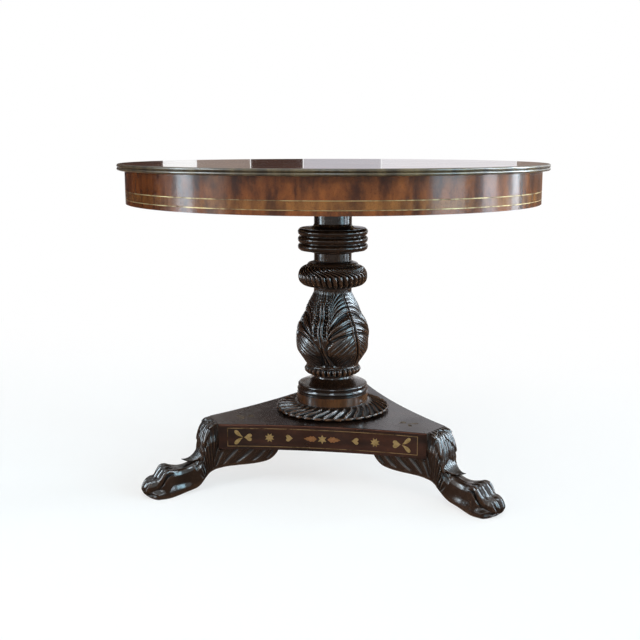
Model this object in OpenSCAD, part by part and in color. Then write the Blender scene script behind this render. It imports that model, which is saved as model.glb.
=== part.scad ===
// Pedestal centre table with a tilting round top, a carved baluster column
// and a three-sided plinth on lion's paw feet. Sizes are in millimetres.
// The origin is on the floor under the column. The plinth's front faces -Y.

/* [Top] */
// Height of the table, floor to top
table_h = 741; // [725:1:790]
// Radius of the top over its edge moulding
top_r = 485; // [450:1:520]
// Thickness of the core board of the top
board_t = 20; // [17:1:26]
// Thickness of the veneer on the top
top_veneer_t = 1; // [0.6:0.1:2]
// How far the edge moulding stands out from the core board
moulding_w = 18.2; // [12:0.1:26]
// Height of the edge moulding
moulding_h = 14; // [10:0.5:16]
// Width of the moulding's flat that the top veneer covers
veneer_lap = 7; // [3:0.5:9]
// Number of lengths in the edge moulding
moulding_lengths = 8; // [6:1:12]

/* [Frieze] */
// Depth of the frieze below the underside of the core board
frieze_h = 66; // [50:1:80]
// Thickness of the frieze's core
frieze_t = 22; // [16:1:30]
// Thickness of the frieze veneer
frieze_veneer_t = 1.2; // [0.6:0.1:2]
// Number of bricks in each course of the frieze
frieze_bricks = 8; // [6:1:12]
// Width of the brass lines round the frieze
line_w = 1.6; // [0.8:0.1:3]
// Height of the lower brass line over the frieze's bottom edge
lower_line_h = 10.4; // [6:0.1:16]
// Height of the upper brass line over the frieze's bottom edge
upper_line_h = 28.2; // [22:0.1:40]
// Leg of the triangular glue blocks behind the frieze
glue_block_w = 16; // [10:1:22]
// Number of glue blocks
glue_blocks = 12; // [8:1:16]

/* [Tilting top] */
// Side of the square block on the column
block_w = 340; // [310:1:380]
// Thickness of the block
block_t = 44; // [38:1:50]
// Width of each bearer under the top
bearer_w = 34; // [26:1:44]
// Depth of each bearer under the top
bearer_h = 46; // [40:1:54]
// Radius of the pivot pins
pin_r = 5; // [3:0.5:7]
// Depth that each pivot pin enters the block
pin_depth = 30; // [18:1:45]
// Distance of each bolt from the middle
bolt_x = 95; // [60:1:120]
// Radius of the bolts
bolt_r = 4; // [3:0.5:5]
// Travel of the bolts
bolt_travel = 12; // [8:1:14]
// Thickness of the brass plates of the bolts and keepers
plate_t = 2; // [1.5:0.5:3]

/* [Column] */
// Radius of the necks between the turned members
neck_r = 44; // [38:1:48]
// Radius of the three rings under the block
ring_r = 81.5; // [72:0.5:88]
// Height of each of the three rings
ring_pitch = 17; // [14:0.5:20]
// Height of the neck under the three rings
lower_neck_h = 18; // [12:1:26]
// Height of the gadrooned collar with its fillets
gadroon_h = 67; // [58:1:76]
// Radius of the gadrooned collar
gadroon_r = 80.5; // [72:0.5:88]
// Height of the carved baluster
baluster_h = 179; // [165:1:195]
// Largest radius of the carved baluster
baluster_r = 86.5; // [78:0.5:92]
// Height of the scalloped bead ring under the baluster
bead_ring_h = 24; // [18:1:30]
// Radius of the scalloped bead ring
bead_ring_r = 66.5; // [58:0.5:74]
// Height of the turned base from its drum to its neck
base_h = 63; // [54:1:72]
// Radius of the drum of the base
drum_r = 83.5; // [76:0.5:90]
// Height of the plain drum of the base
drum_h = 19.6; // [14:0.2:26]
// Height of the petal boss on the plinth
boss_h = 22.4; // [16:0.2:28]
// Radius of the petal boss
boss_r = 134; // [115:1:145]
// Radius of the round tenons that join the column
tenon_r = 20; // [15:0.5:26]
// Length of the tenons inside the column
tenon_l = 22; // [14:1:26]

/* [Plinth] */
// Height of the plinth's underside over the floor
plinth_clear = 105; // [92:1:120]
// Thickness of the plinth
plinth_t = 58.6; // [50:0.2:70]
// Distance from the column's axis to each canted corner
cant_r = 290.6; // [270:0.2:310]
// Width of each canted corner
cant_w = 75; // [64:1:86]
// How far each side of the plinth curves in
side_sag = 18.5; // [8:0.5:30]
// Thickness of the plinth's veneers
plinth_veneer_t = 1.2; // [0.8:0.1:2]

/* [Brass inlay] */
// Gap between the brass border and the ends of each side
border_margin_x = 19; // [12:1:30]
// Gap between the brass border and the plinth's top edge
border_margin_top = 9; // [7:0.5:13]
// Gap between the brass border and the plinth's bottom edge
border_margin_bottom = 6.5; // [5:0.5:10]
// Width of the border line
border_w = 1.5; // [0.8:0.1:2.5]
// Radius of the stars
star_r = 11; // [8:0.5:13]
// Length of the hearts near the ends of each side
outer_heart_l = 18; // [13:0.5:19]
// Length of the hearts nearer the middle
inner_heart_l = 16; // [12:0.5:19]
// Length of the drops
drop_l = 19; // [14:0.5:20]
// Length of the serrated leaves
leaf_l = 29; // [22:0.5:32]
// Distance of the hearts on the plinth's top from the column's axis
corner_heart_r = 205; // [190:1:215]

/* [Legs] */
// Reach of each leg from the canted corner to its toe tips
leg_reach = 170; // [150:1:180]
// Length of each leg's bracket under the plinth
bracket_l = 148; // [120:1:170]
// Width of each knee
knee_w = 76; // [64:1:88]
// Width of each ankle
ankle_w = 46; // [38:1:56]
// Width of each paw
paw_w = 82; // [70:1:92]
// Depth of the furrows between the toes
toe_depth = 6; // [2:0.5:8]
// Radius of the dowels that hold the legs
dowel_r = 6; // [4:0.5:8]
// Length of the dowels that hold the legs
dowel_l = 60; // [40:1:70]

/* [Hidden] */
$fn = 128;

// Clearances
seat_gap = 0.3;
side_gap = 0.5;
joint_gap = 0.2;
running_gap = 0.05;
tenon_gap = 0.1;
inlay_gap = 0.05;
leg_gap = 0.1;
cut = 1;

// Colours of the woods and metals
MAHOGANY = "saddlebrown";
DARK_WOOD = [0.16, 0.10, 0.08];
ROSEWOOD = [0.26, 0.15, 0.12];
CORE_WOOD = "burlywood";
BRASS = [0.82, 0.72, 0.42];
COPPER = [0.66, 0.45, 0.28];
GILT_WOOD = [0.40, 0.33, 0.24];
STEEL = "dimgray";
DRUM_WOOD = [0.45, 0.26, 0.14];

// Levels of the top, from the top down
board_top = table_h - top_veneer_t;
board_bottom = board_top - board_t;
moulding_bottom = table_h - moulding_h;
frieze_bottom = board_bottom - frieze_h;
course_h = frieze_h / 2;
board_r = top_r - moulding_w;
frieze_inner_r = board_r - frieze_t;
glued_r = board_r + inlay_gap;
reed_r = moulding_h / 4;
lap_r = min(board_r + veneer_lap, top_r - reed_r);

// The tilting mechanism
block_top = board_bottom - seat_gap;
block_bottom = block_top - block_t;
pivot_z = block_top - block_t / 2;
pivot_y = block_t / 2 - block_w / 2;
bearer_in = block_w / 2 + side_gap;
bearer_out = bearer_in + bearer_w;
bearer_bottom = board_bottom - bearer_h;
bearer_end_gap = 8;
bearer_reach = frieze_inner_r - glue_block_w - bearer_end_gap;
bearer_half = sqrt(bearer_reach * bearer_reach - bearer_out * bearer_out);
screw_r = 2.4;
screw_head_r = 4.8;
screw_head_h = 3;
screw_bite = 12;
dowel_bite = 0.13;
dowel_spread = 0.22;
leg_screw_sink = 22;
leg_screw_bite = 30;
leg_screw_level = 0.51;
leg_screw_spots = [0.3, 0.62];
bearer_screw_spots = [-0.82, -0.12, 0.3, 0.82];
small_screw_r = 1.2;
small_head_r = 2.4;
small_head_h = 1.2;
small_screw_l = 9;

// The bolts, measured back from the block's rear face
guide_w = 16;
guide_l = 8;
guide_wall = 3.5;
guide_spare = 6;
knob_spare = 2;
plate_lip = 10;
plate_screw_inset = 4.5;
keeper_screw_inset = 5;
strike_spare = 3;
bolt_z = board_bottom - plate_t - guide_wall - bolt_r;
guide_h = plate_t + 2 * (guide_wall + bolt_r);
keeper_y = block_w / 2 + plate_t;
bolt_tip = keeper_y + cut;
knob_r = 6;
knob_neck_r = 2.5;
guide_front = bolt_tip + guide_spare;
guide_rear = guide_front + guide_l + bolt_travel + 2 * (knob_r + knob_spare);
knob_y = guide_rear - knob_r - knob_spare;
bolt_plate_front = guide_front - guide_spare;
bolt_tail = guide_rear + guide_l + guide_spare;
bolt_plate_l = bolt_tail - bolt_plate_front;
bolt_plate_w = guide_w + 2 * plate_lip;
keeper_w = 34;
keeper_h = 2 * (block_top - bolt_z) - seat_gap;
strike_depth = bolt_travel + strike_spare;

// Levels of the column, from the floor up
plinth_top = plinth_clear + plinth_t;
boss_top = plinth_top + boss_h;
base_top = boss_top + base_h;
bead_ring_top = base_top + bead_ring_h;
baluster_top = bead_ring_top + baluster_h;
gadroon_top = baluster_top + gadroon_h;
ring_start = gadroon_top + lower_neck_h;
ring_flare = 5;
ring_stack = 3 * ring_pitch;
ring_end = ring_start + ring_stack + 2 * ring_flare;
tenon_step = 5;
big_tenon_r = tenon_r + tenon_step;
wedge_t = 4;
wedge_wall = 4;
wedge_w = 2 * (big_tenon_r - wedge_wall);
wedge_h = 30;

// The plinth's outline
side_half = cant_r * cos(30) - cant_w / 2 * sin(30);
corner_d = cant_r * sin(30) + cant_w / 2 * cos(30);
side_mid = corner_d - side_sag;
side_r = (side_half * side_half + side_sag * side_sag) / (2 * side_sag);
veneer_top = plinth_top - plinth_veneer_t;
face_z = (plinth_clear + border_margin_bottom + plinth_top - border_margin_top) / 2;
border_h = plinth_t - border_margin_top - border_margin_bottom;
border_half = side_half - border_margin_x;

// Places of the motifs along half a side, as shares of the border's half length
leaf_at = 0.125;
inner_heart_at = 0.345;
star_at = 0.556;
outer_heart_at = 0.785;

// How far a drop rises over its length, how its stem curls, and its greatest half width
drop_rise = 0.8;
drop_curl = 1.6;
drop_swell = 0.37;

// The legs' azimuths, seen from above
LEFT_LEG = 210;
RIGHT_LEG = -30;
BACK_LEG = 90;

// Steps from one point of a turned outline to the next
turned_steps = 4;

// A smooth curve through the given points, with steps points to each stretch
function curve_point(a, b, c, d, t) =
    0.5 * (2 * b + (c - a) * t + (2 * a - 5 * b + 4 * c - d) * t * t
        + (3 * b - a - 3 * c + d) * t * t * t);
function curve(pts, steps) = [
    for (i = [0 : len(pts) - 2])
        for (k = [0 : steps - 1])
            curve_point(pts[max(i - 1, 0)], pts[i], pts[i + 1], pts[min(i + 2, len(pts) - 1)], k / steps),
    pts[len(pts) - 1]
];

// A turned solid from a list of [radius, height] points, with an optional bore
module turned(profile, bore = 0) {
    first = profile[0];
    last = profile[len(profile) - 1];
    rotate_extrude()
        polygon(concat([[bore, first[1]]], profile, [[bore, last[1]]]));
}

// Arc pieces of a ring, parted by a glue line
module arc_pieces(count, turn, radius) {
    line = joint_gap / radius * 180 / PI;
    for (i = [0 : count - 1])
        rotate([0, 0, turn + i * 360 / count + line / 2])
            rotate_extrude(angle = 360 / count - line)
                children();
}

// A countersunk screw that points up, with its head's face at the origin
module screw(length, shank, head, head_h) {
    cylinder(r1 = head, r2 = shank, h = head_h);
    cylinder(r = shank, h = length);
}

// The top

module top_board() {
    color(CORE_WOOD)
        difference() {
            translate([0, 0, board_bottom])
                cylinder(r = board_r, h = board_t);
            bearer_screw_places(screw_r + running_gap);
            bolt_screw_places(small_screw_r + running_gap);
        }
}

module top_veneer() {
    color(MAHOGANY)
        translate([0, 0, board_top])
            cylinder(r = lap_r - inlay_gap, h = top_veneer_t);
}

module moulding_profile() {
    reed_x = top_r - reed_r;
    translate([glued_r, moulding_bottom])
        square([reed_x - glued_r, moulding_h - top_veneer_t]);
    translate([lap_r, moulding_bottom])
        square([reed_x - lap_r, moulding_h]);
    for (i = [0, 1])
        translate([reed_x, moulding_bottom + reed_r * (1 + 2 * i)])
            circle(r = reed_r, $fn = 32);
}

module edge_moulding() {
    color(GILT_WOOD)
        arc_pieces(moulding_lengths, 0, board_r)
            moulding_profile();
}

module frieze_course(level, turn) {
    color(CORE_WOOD)
        arc_pieces(frieze_bricks, turn, board_r)
            translate([frieze_inner_r, level])
                square([frieze_t, course_h]);
}

module frieze_upper_course() {
    frieze_course(frieze_bottom + course_h, 0);
}

module frieze_lower_course() {
    frieze_course(frieze_bottom, 180 / frieze_bricks);
}

// A band round the frieze between two levels
module frieze_band(low, high) {
    rotate_extrude()
        translate([glued_r, low])
            square([frieze_veneer_t, high - low]);
}

module frieze_veneer() {
    lower = frieze_bottom + lower_line_h;
    upper = frieze_bottom + upper_line_h;
    color(MAHOGANY) {
        frieze_band(frieze_bottom, lower - line_w / 2);
        frieze_band(lower + line_w / 2, upper - line_w / 2);
        frieze_band(upper + line_w / 2, moulding_bottom);
    }
}

module frieze_brass_lines() {
    color(BRASS)
        for (level = [lower_line_h, upper_line_h])
            frieze_band(frieze_bottom + level - line_w / 2, frieze_bottom + level + line_w / 2);
}

module glue_block_ring() {
    block_angle = 5;
    corner_r = frieze_inner_r - inlay_gap;
    color(CORE_WOOD)
        for (i = [0 : glue_blocks - 1])
            rotate([0, 0, (i + 0.5) * 360 / glue_blocks - block_angle / 2])
                rotate_extrude(angle = block_angle)
                    polygon([
                        [corner_r, board_bottom],
                        [corner_r - glue_block_w, board_bottom],
                        [corner_r, board_bottom - glue_block_w]
                    ]);
}

// The tilting mechanism

module bearer(side) {
    x = side < 0 ? -bearer_out : bearer_in;
    color(MAHOGANY)
        difference() {
            translate([x, -bearer_half, bearer_bottom])
                cube([bearer_w, 2 * bearer_half, bearer_h]);
            for (end = [-1, 1])
                translate([x - cut, end * bearer_half, bearer_bottom])
                    rotate([45, 0, 0])
                        translate([0, -bearer_h / 2, -bearer_h / 2])
                            cube([bearer_w + 2 * cut, bearer_h, bearer_h]);
            translate([side * bearer_in - side * cut, pivot_y, pivot_z])
                rotate([0, side * 90, 0])
                    cylinder(r = pin_r + running_gap, h = bearer_w + 2 * cut);
            bearer_screw_places(screw_r + running_gap, screw_head_r + running_gap);
        }
}

module left_bearer() {
    bearer(-1);
}

module right_bearer() {
    bearer(1);
}

// The screws that hold the bearers, or the holes for them
module bearer_screw_places(shank, head = screw_head_r) {
    for (side = [-1, 1], spot = bearer_screw_spots)
        translate([side * (bearer_in + bearer_w / 2), spot * bearer_half, bearer_bottom])
            screw(bearer_h + screw_bite, shank, head, screw_head_h);
}

module bearer_screws() {
    color(STEEL)
        bearer_screw_places(screw_r);
}

module pivot_pin(side) {
    color(STEEL)
        translate([side * (block_w / 2 - pin_depth), pivot_y, pivot_z])
            rotate([0, side * 90, 0])
                cylinder(r = pin_r, h = pin_depth + side_gap + bearer_w);
}

module left_pivot_pin() {
    pivot_pin(-1);
}

module right_pivot_pin() {
    pivot_pin(1);
}

module bolt_plate(side) {
    color(BRASS)
        translate([side * bolt_x, 0, 0])
            difference() {
                union() {
                    translate([-bolt_plate_w / 2, bolt_plate_front, board_bottom - plate_t])
                        cube([bolt_plate_w, bolt_plate_l, plate_t]);
                    for (y = [guide_front, guide_rear])
                        translate([-guide_w / 2, y, board_bottom - guide_h])
                            cube([guide_w, guide_l, guide_h]);
                }
                translate([0, bolt_plate_front, bolt_z])
                    rotate([-90, 0, 0])
                        cylinder(r = bolt_r + running_gap, h = bolt_plate_l);
                translate([-side * bolt_x, 0, 0])
                    bolt_screw_places(small_screw_r + running_gap, small_head_r + running_gap);
            }
}

module left_bolt_plate() {
    bolt_plate(-1);
}

module right_bolt_plate() {
    bolt_plate(1);
}

// The screws that hold the bolt plates, or the holes for them
module bolt_screw_places(shank, head = small_head_r) {
    inset = plate_screw_inset;
    ends = [bolt_plate_front + inset, bolt_tail - inset];
    for (side = [-1, 1], across = [-1, 1], y = ends)
        translate([side * bolt_x + across * (bolt_plate_w / 2 - inset), y, board_bottom - plate_t])
            screw(small_screw_l, shank, head, small_head_h);
}

module bolt_plate_screws() {
    color(BRASS)
        bolt_screw_places(small_screw_r);
}

module sliding_bolt(side) {
    neck_l = guide_h - plate_t - guide_wall;
    color(BRASS)
        translate([side * bolt_x, 0, bolt_z]) {
            translate([0, bolt_tip, 0])
                rotate([-90, 0, 0])
                    cylinder(r = bolt_r, h = bolt_tail - bolt_tip);
            translate([0, knob_y, -neck_l])
                cylinder(r = knob_neck_r, h = neck_l);
            translate([0, knob_y, -neck_l - knob_r / 2])
                sphere(r = knob_r, $fn = 48);
        }
}

module left_bolt() {
    sliding_bolt(-1);
}

module right_bolt() {
    sliding_bolt(1);
}

module block() {
    color(DARK_WOOD)
        difference() {
            union() {
                translate([-block_w / 2, pivot_y, block_bottom])
                    cube([block_w, block_w - block_t / 2, block_t]);
                translate([-block_w / 2, pivot_y, pivot_z])
                    rotate([0, 90, 0])
                        cylinder(r = block_t / 2, h = block_w);
            }
            translate([0, 0, block_bottom - cut])
                cylinder(r = big_tenon_r + tenon_gap, h = block_t + 2 * cut);
            for (side = [-1, 1]) {
                translate([side * (block_w / 2 - pin_depth - cut), pivot_y, pivot_z])
                    rotate([0, side * 90, 0])
                        cylinder(r = pin_r + running_gap, h = pin_depth + 2 * cut);
                translate([side * bolt_x, block_w / 2 - strike_depth, bolt_z])
                    rotate([-90, 0, 0])
                        cylinder(r = bolt_r + side_gap, h = strike_depth + cut);
            }
            keeper_screw_places(small_screw_r + running_gap);
        }
}

module block_wedge() {
    color(MAHOGANY)
        wedge(block_top - wedge_h);
}

// A flat wedge that stands in a tenon's slot
module wedge(level) {
    translate([-wedge_w / 2, -wedge_t / 2, level])
        cube([wedge_w, wedge_t, wedge_h]);
}

// The slot that takes a wedge
module wedge_slot(level) {
    translate([-wedge_w / 2 - tenon_gap, -wedge_t / 2 - tenon_gap, level - tenon_gap])
        cube([wedge_w + 2 * tenon_gap, wedge_t + 2 * tenon_gap, wedge_h + 2 * tenon_gap]);
}

module keeper(side) {
    color(BRASS)
        difference() {
            translate([side * bolt_x - keeper_w / 2, block_w / 2, bolt_z - keeper_h / 2])
                cube([keeper_w, plate_t, keeper_h]);
            translate([side * bolt_x, block_w / 2 - cut, bolt_z])
                rotate([-90, 0, 0])
                    cylinder(r = bolt_r + side_gap, h = plate_t + 2 * cut);
            keeper_screw_places(small_screw_r + running_gap, small_head_r + running_gap);
        }
}

module left_keeper() {
    keeper(-1);
}

module right_keeper() {
    keeper(1);
}

// The screws that hold the keepers, or the holes for them
module keeper_screw_places(shank, head = small_head_r) {
    for (side = [-1, 1], across = [-1, 1])
        translate([side * bolt_x + across * (keeper_w / 2 - keeper_screw_inset), keeper_y, bolt_z])
            rotate([90, 0, 0])
                screw(small_screw_l, shank, head, small_head_h);
}

module keeper_screws() {
    color(BRASS)
        keeper_screw_places(small_screw_r);
}

// The column. Each turned outline is given as shares: of the swell from the inner to
// the widest radius, and of the height over a level.

function outline_of(shape, inner, widest, low, height) =
    [for (p = shape) [inner + p[0] * (widest - inner), low + p[1] * height]];

// A round tenon that hangs below a shoulder
module lower_tenon(radius, shoulder, length) {
    translate([0, 0, shoulder - length])
        cylinder(r = radius, h = length + cut);
}

// The socket for such a tenon
module socket(radius, shoulder, length) {
    translate([0, 0, shoulder - length - tenon_gap])
        cylinder(r = radius + tenon_gap, h = length + tenon_gap + cut);
}

// The flares below and above the three rings, as shares of one flare's height
LOWER_FLARE = [[0, -0.4], [0.812, 1], [1, 1]];
UPPER_FLARE = [[1, -1], [0.906, -1], [0.22, -0.6], [0.047, 0], [0, 1]];
ring_depth = 0.65;

module ring_collar() {
    torus_r = ring_pitch / 2;
    core_r = ring_r - ring_depth * torus_r;
    color(DARK_WOOD)
        difference() {
            union() {
                turned(concat(
                    [[neck_r, gadroon_top]],
                    outline_of(LOWER_FLARE, neck_r, core_r, ring_start, ring_flare),
                    outline_of(UPPER_FLARE, neck_r, core_r, ring_end, ring_flare),
                    [[neck_r, block_bottom]]
                ));
                rotate_extrude()
                    for (i = [0 : 2])
                        translate([ring_r - torus_r, ring_start + ring_flare + torus_r * (2 * i + 1)])
                            circle(r = torus_r - joint_gap / 2, $fn = 48);
                translate([0, 0, block_bottom - cut])
                    cylinder(r = big_tenon_r, h = block_t + cut);
                lower_tenon(tenon_r, gadroon_top, tenon_l);
            }
            wedge_slot(block_top - wedge_h);
        }
}

// The gadrooned roll, and the neck below and the fillet above it
ROLL_SHAPE = [
    [0.055, 0.075], [0.58, 0.115], [0.9, 0.24], [1, 0.42], [0.965, 0.58], [0.83, 0.715],
    [0.62, 0.79], [0.45, 0.821]
];
ROLL_NECK = [[0, 0], [0, 0.06]];
ROLL_FILLET = [[0.384, 0.821], [0.384, 0.896], [0.301, 0.918], [0.027, 0.955], [0, 1]];

module gadroon_collar() {
    part = [for (shape = [ROLL_NECK, ROLL_SHAPE, ROLL_FILLET])
        outline_of(shape, neck_r, gadroon_r, baluster_top, gadroon_h)];
    color(DARK_WOOD)
        difference() {
            union() {
                turned(concat(part[0], curve(part[1], turned_steps), part[2]));
                lower_tenon(tenon_r, baluster_top, tenon_l);
            }
            socket(tenon_r, gadroon_top, tenon_l);
        }
}

BALUSTER_SHAPE = [
    [0.40, 0], [0.56, 0.06], [0.77, 0.135], [0.93, 0.2], [0.985, 0.28], [1, 0.36], [0.985, 0.44],
    [0.94, 0.5], [0.86, 0.56], [0.74, 0.615], [0.61, 0.66], [0.51, 0.71], [0.44, 0.755],
    [0.38, 0.79], [0.26, 0.845], [0.12, 0.905], [0.01, 0.955]
];

module baluster() {
    outline = outline_of(BALUSTER_SHAPE, neck_r, baluster_r, bead_ring_top, baluster_h);
    color(DARK_WOOD)
        difference() {
            union() {
                turned(concat(curve(outline, turned_steps), [[neck_r, baluster_top]]));
                lower_tenon(tenon_r, bead_ring_top, bead_ring_h + tenon_l);
            }
            socket(tenon_r, baluster_top, tenon_l);
        }
}

BEAD_RING_SHAPE = [[0.556, 0.063], [0.867, 0.25], [1, 0.5], [0.911, 0.75], [0.733, 1]];
bead_ring_foot = 0.09;

module bead_ring() {
    outline = outline_of(BEAD_RING_SHAPE, neck_r, bead_ring_r, base_top, bead_ring_h);
    foot = outline_of([[bead_ring_foot, 0]], neck_r, bead_ring_r, base_top, bead_ring_h);
    color(DARK_WOOD)
        turned(concat(foot, curve(outline, turned_steps)), tenon_r + tenon_gap);
}

// The mouldings over the drum: a quirk, a bead, a fillet and a cove
DRUM_QUIRK = [[0.924, 0.018], [0.924, 0.1]];
DRUM_BEAD = [[0.949, 0.1], [1, 0.2], [0.949, 0.3]];
DRUM_FILLET = [[0.899, 0.32], [0.899, 0.37]];
DRUM_COVE = [
    [0.924, 0.38], [0.949, 0.46], [0.848, 0.54], [0.494, 0.63], [0.228, 0.71], [0.051, 0.82], [0, 0.92]
];

module turned_base() {
    drum_top = boss_top + drum_h;
    part = [for (shape = [DRUM_QUIRK, DRUM_BEAD, DRUM_FILLET, DRUM_COVE])
        outline_of(shape, neck_r, drum_r, drum_top, base_h - drum_h)];
    outline = concat(
        [[drum_r, boss_top], [drum_r, drum_top]],
        part[0],
        curve(part[1], turned_steps),
        part[2],
        curve(part[3], turned_steps),
        [[neck_r, base_top]]
    );
    color(DRUM_WOOD)
        difference() {
            union() {
                turned(outline);
                lower_tenon(big_tenon_r, boss_top, boss_h + plinth_t);
            }
            socket(tenon_r, base_top, tenon_l);
            wedge_slot(plinth_clear);
        }
}

// The petals' undercut and their back
BOSS_UNDERCUT = [[0.726, 0], [0.811, 0.112], [0.958, 0.156]];
BOSS_BACK = [[1, 0.22], [0.98, 0.42], [0.86, 0.6], [0.6, 0.8], [0.28, 0.94], [0.021, 1]];

module petal_boss() {
    part = [for (shape = [BOSS_UNDERCUT, BOSS_BACK])
        outline_of(shape, drum_r, boss_r, plinth_top, boss_h)];
    outline = concat(part[0], curve(part[1], turned_steps));
    color(DARK_WOOD)
        turned(outline, big_tenon_r + tenon_gap);
}

// The plinth

module on_side(i) {
    rotate([0, 0, 120 * i])
        children();
}

module plinth_prism(low, high) {
    translate([0, 0, low])
        linear_extrude(high - low)
            polygon([
                for (i = [0 : 2], end = [-1, 1])
                    let (turn = 120 * i, x = end * side_half, y = -corner_d)
                        [x * cos(turn) - y * sin(turn), x * sin(turn) + y * cos(turn)]
            ]);
}

// The round cutter that hollows one side of the plinth
module side_cutter(radius) {
    translate([0, -side_mid - side_r, plinth_clear - cut])
        cylinder(r = radius, h = plinth_t + 2 * cut, $fn = 720);
}

module plinth_core() {
    color(CORE_WOOD)
        difference() {
            plinth_prism(plinth_clear, veneer_top);
            for (i = [0 : 2])
                on_side(i)
                    side_cutter(side_r + plinth_veneer_t);
            translate([0, 0, plinth_clear - cut])
                cylinder(r = big_tenon_r + tenon_gap, h = plinth_t + 2 * cut);
            dowel_places(dowel_r + inlay_gap, tenon_gap);
            leg_screw_places(screw_r + inlay_gap);
        }
}

module plinth_wedge() {
    color(MAHOGANY)
        wedge(plinth_clear);
}

module plinth_top_veneer() {
    color(ROSEWOOD)
        difference() {
            plinth_prism(veneer_top, plinth_top);
            for (i = [0 : 2])
                on_side(i)
                    side_cutter(side_r);
            translate([0, 0, veneer_top - cut])
                cylinder(r = big_tenon_r + tenon_gap, h = plinth_veneer_t + 2 * cut);
            corner_heart_places(inlay_gap, veneer_top - cut, plinth_top + cut);
        }
}

// The thin curved shell that covers one side of the plinth
module side_shell() {
    intersection() {
        plinth_prism(plinth_clear, veneer_top);
        difference() {
            side_cutter(side_r + plinth_veneer_t - inlay_gap);
            side_cutter(side_r);
        }
    }
}

module side_veneer(i) {
    color(ROSEWOOD)
        on_side(i)
            difference() {
                side_shell();
                through_side()
                    border_shape(inlay_gap);
                for (n = [0 : 4])
                    through_side()
                        motif_shapes(n, inlay_gap);
            }
}

module plinth_front_veneer() {
    side_veneer(0);
}

module plinth_right_veneer() {
    side_veneer(1);
}

module plinth_left_veneer() {
    side_veneer(2);
}

// The brass inlay

// A flat shape drawn on the face, pushed right through the side veneer
module through_side() {
    depth = side_sag + plinth_veneer_t + 2 * cut;
    translate([0, plinth_veneer_t + cut - side_mid, face_z])
        rotate([90, 0, 0])
            linear_extrude(depth)
                children();
}

module border_shape(grow) {
    difference() {
        square([2 * (border_half + grow), border_h + 2 * grow], center = true);
        square([2 * (border_half - border_w - grow), border_h - 2 * (border_w + grow)], center = true);
    }
}

// An outline moved outwards by the given distance
function grown(pts, grow) = [
    for (i = [0 : len(pts) - 1])
        let (run = pts[(i + 1) % len(pts)] - pts[(i + len(pts) - 1) % len(pts)])
            pts[i] + grow * [run[1], -run[0]] / norm(run)
];

function star_points(tips, radius, waist) = [
    for (i = [0 : 2 * tips - 1])
        let (a = 90 + 180 * i / tips, r = i % 2 == 0 ? radius : waist * radius)
            [r * cos(a), r * sin(a)]
];

// A heart of the given length about the origin that points along +X
function heart_points(length) = [
    for (i = [0 : 27])
        let (a = 360 * i / 28, s = length / 28.6)
            [
                (-2.7 - 13 * cos(a) + 5 * cos(2 * a) + 2 * cos(3 * a) + cos(4 * a)) * s,
                -14 * pow(sin(a), 3) * s
            ]
];

// A drop of the given length along +X that swells from its tip at the origin and curls to +Y
function drop_points(length) = [
    for (i = [0 : 23])
        let (
            a = 360 * i / 24,
            t = (1 - cos(a)) / 2,
            lean = atan(drop_rise * drop_curl * pow(t, drop_curl - 1)),
            half = length * drop_swell * sin(a) * pow(sin(a / 2), 2.2)
        )
            [length * t + half * sin(lean), length * drop_rise * pow(t, drop_curl) - half * cos(lean)]
];

// A serrated leaf of the given length that points along +X
function leaf_edge(length, side) = [
    for (i = [0 : 8])
        let (t = i / 8, tooth = i % 2 == 0 ? 1 : 0.72, w = length * 0.25 * sin(180 * pow(t, 0.7)) * tooth)
            [length * (t - 0.5), side * max(w, 0.02 * length)]
];
function leaf_points(length) =
    let (upper = leaf_edge(length, 1))
        concat(leaf_edge(length, -1), [for (i = [len(upper) - 1 : -1 : 0]) upper[i]]);

module star(tips, waist, grow) {
    polygon(grown(star_points(tips, star_r, waist), grow));
}

module heart(length, grow) {
    polygon(grown(heart_points(length), grow));
}

// Two drops that spread from the tip of an outer heart at the origin
module drop_pair(grow) {
    tip_gap = 1;
    for (up = [0, 1])
        mirror([0, up])
            translate([outer_heart_l / 2 + tip_gap, tip_gap])
                polygon(grown(drop_points(drop_l), grow));
}

// The motifs by kind: 0 stars, 1 inner hearts, 2 outer hearts, 3 drops, 4 leaves
module motif_shapes(kind, grow) {
    if (kind == 0) {
        star(6, 0.5, grow);
        for (side = [-1, 1])
            translate([side * star_at * border_half, 0])
                rotate(360 / 16)
                    star(8, 0.56, grow);
    }
    for (side = [-1, 1])
        mirror([side < 0 ? 1 : 0, 0]) {
            if (kind == 1)
                translate([inner_heart_at * border_half, 0])
                    mirror([1, 0])
                        heart(inner_heart_l, grow);
            if (kind == 2)
                translate([outer_heart_at * border_half, 0])
                    heart(outer_heart_l, grow);
            if (kind == 3)
                translate([outer_heart_at * border_half, 0])
                    drop_pair(grow);
            if (kind == 4)
                translate([leaf_at * border_half, 0])
                    polygon(grown(leaf_points(leaf_l), grow));
        }
}

// A set of motifs in brass on all three sides
module inlaid() {
    for (i = [0 : 2])
        on_side(i)
            intersection() {
                side_shell();
                through_side()
                    children();
            }
}

module brass_borders() {
    color(BRASS)
        inlaid()
            border_shape(0);
}

module brass_stars() {
    color(BRASS)
        inlaid()
            motif_shapes(0, 0);
}

module brass_hearts() {
    color(BRASS) {
        inlaid()
            motif_shapes(1, 0);
        inlaid()
            motif_shapes(2, 0);
    }
}

module brass_drops() {
    color(BRASS)
        inlaid()
            motif_shapes(3, 0);
}

module brass_leaves() {
    color(COPPER)
        inlaid()
            motif_shapes(4, 0);
}

// A heart and two drops by each canted corner, or the pockets for them
module corner_heart_places(grow, low, high) {
    for (turn = [LEFT_LEG, RIGHT_LEG, BACK_LEG])
        rotate([0, 0, turn])
            translate([corner_heart_r, 0, low])
                linear_extrude(high - low) {
                    heart(outer_heart_l, grow);
                    drop_pair(grow);
                }
}

module brass_corner_hearts() {
    color(BRASS)
        corner_heart_places(0, veneer_top + inlay_gap, plinth_top);
}

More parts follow.
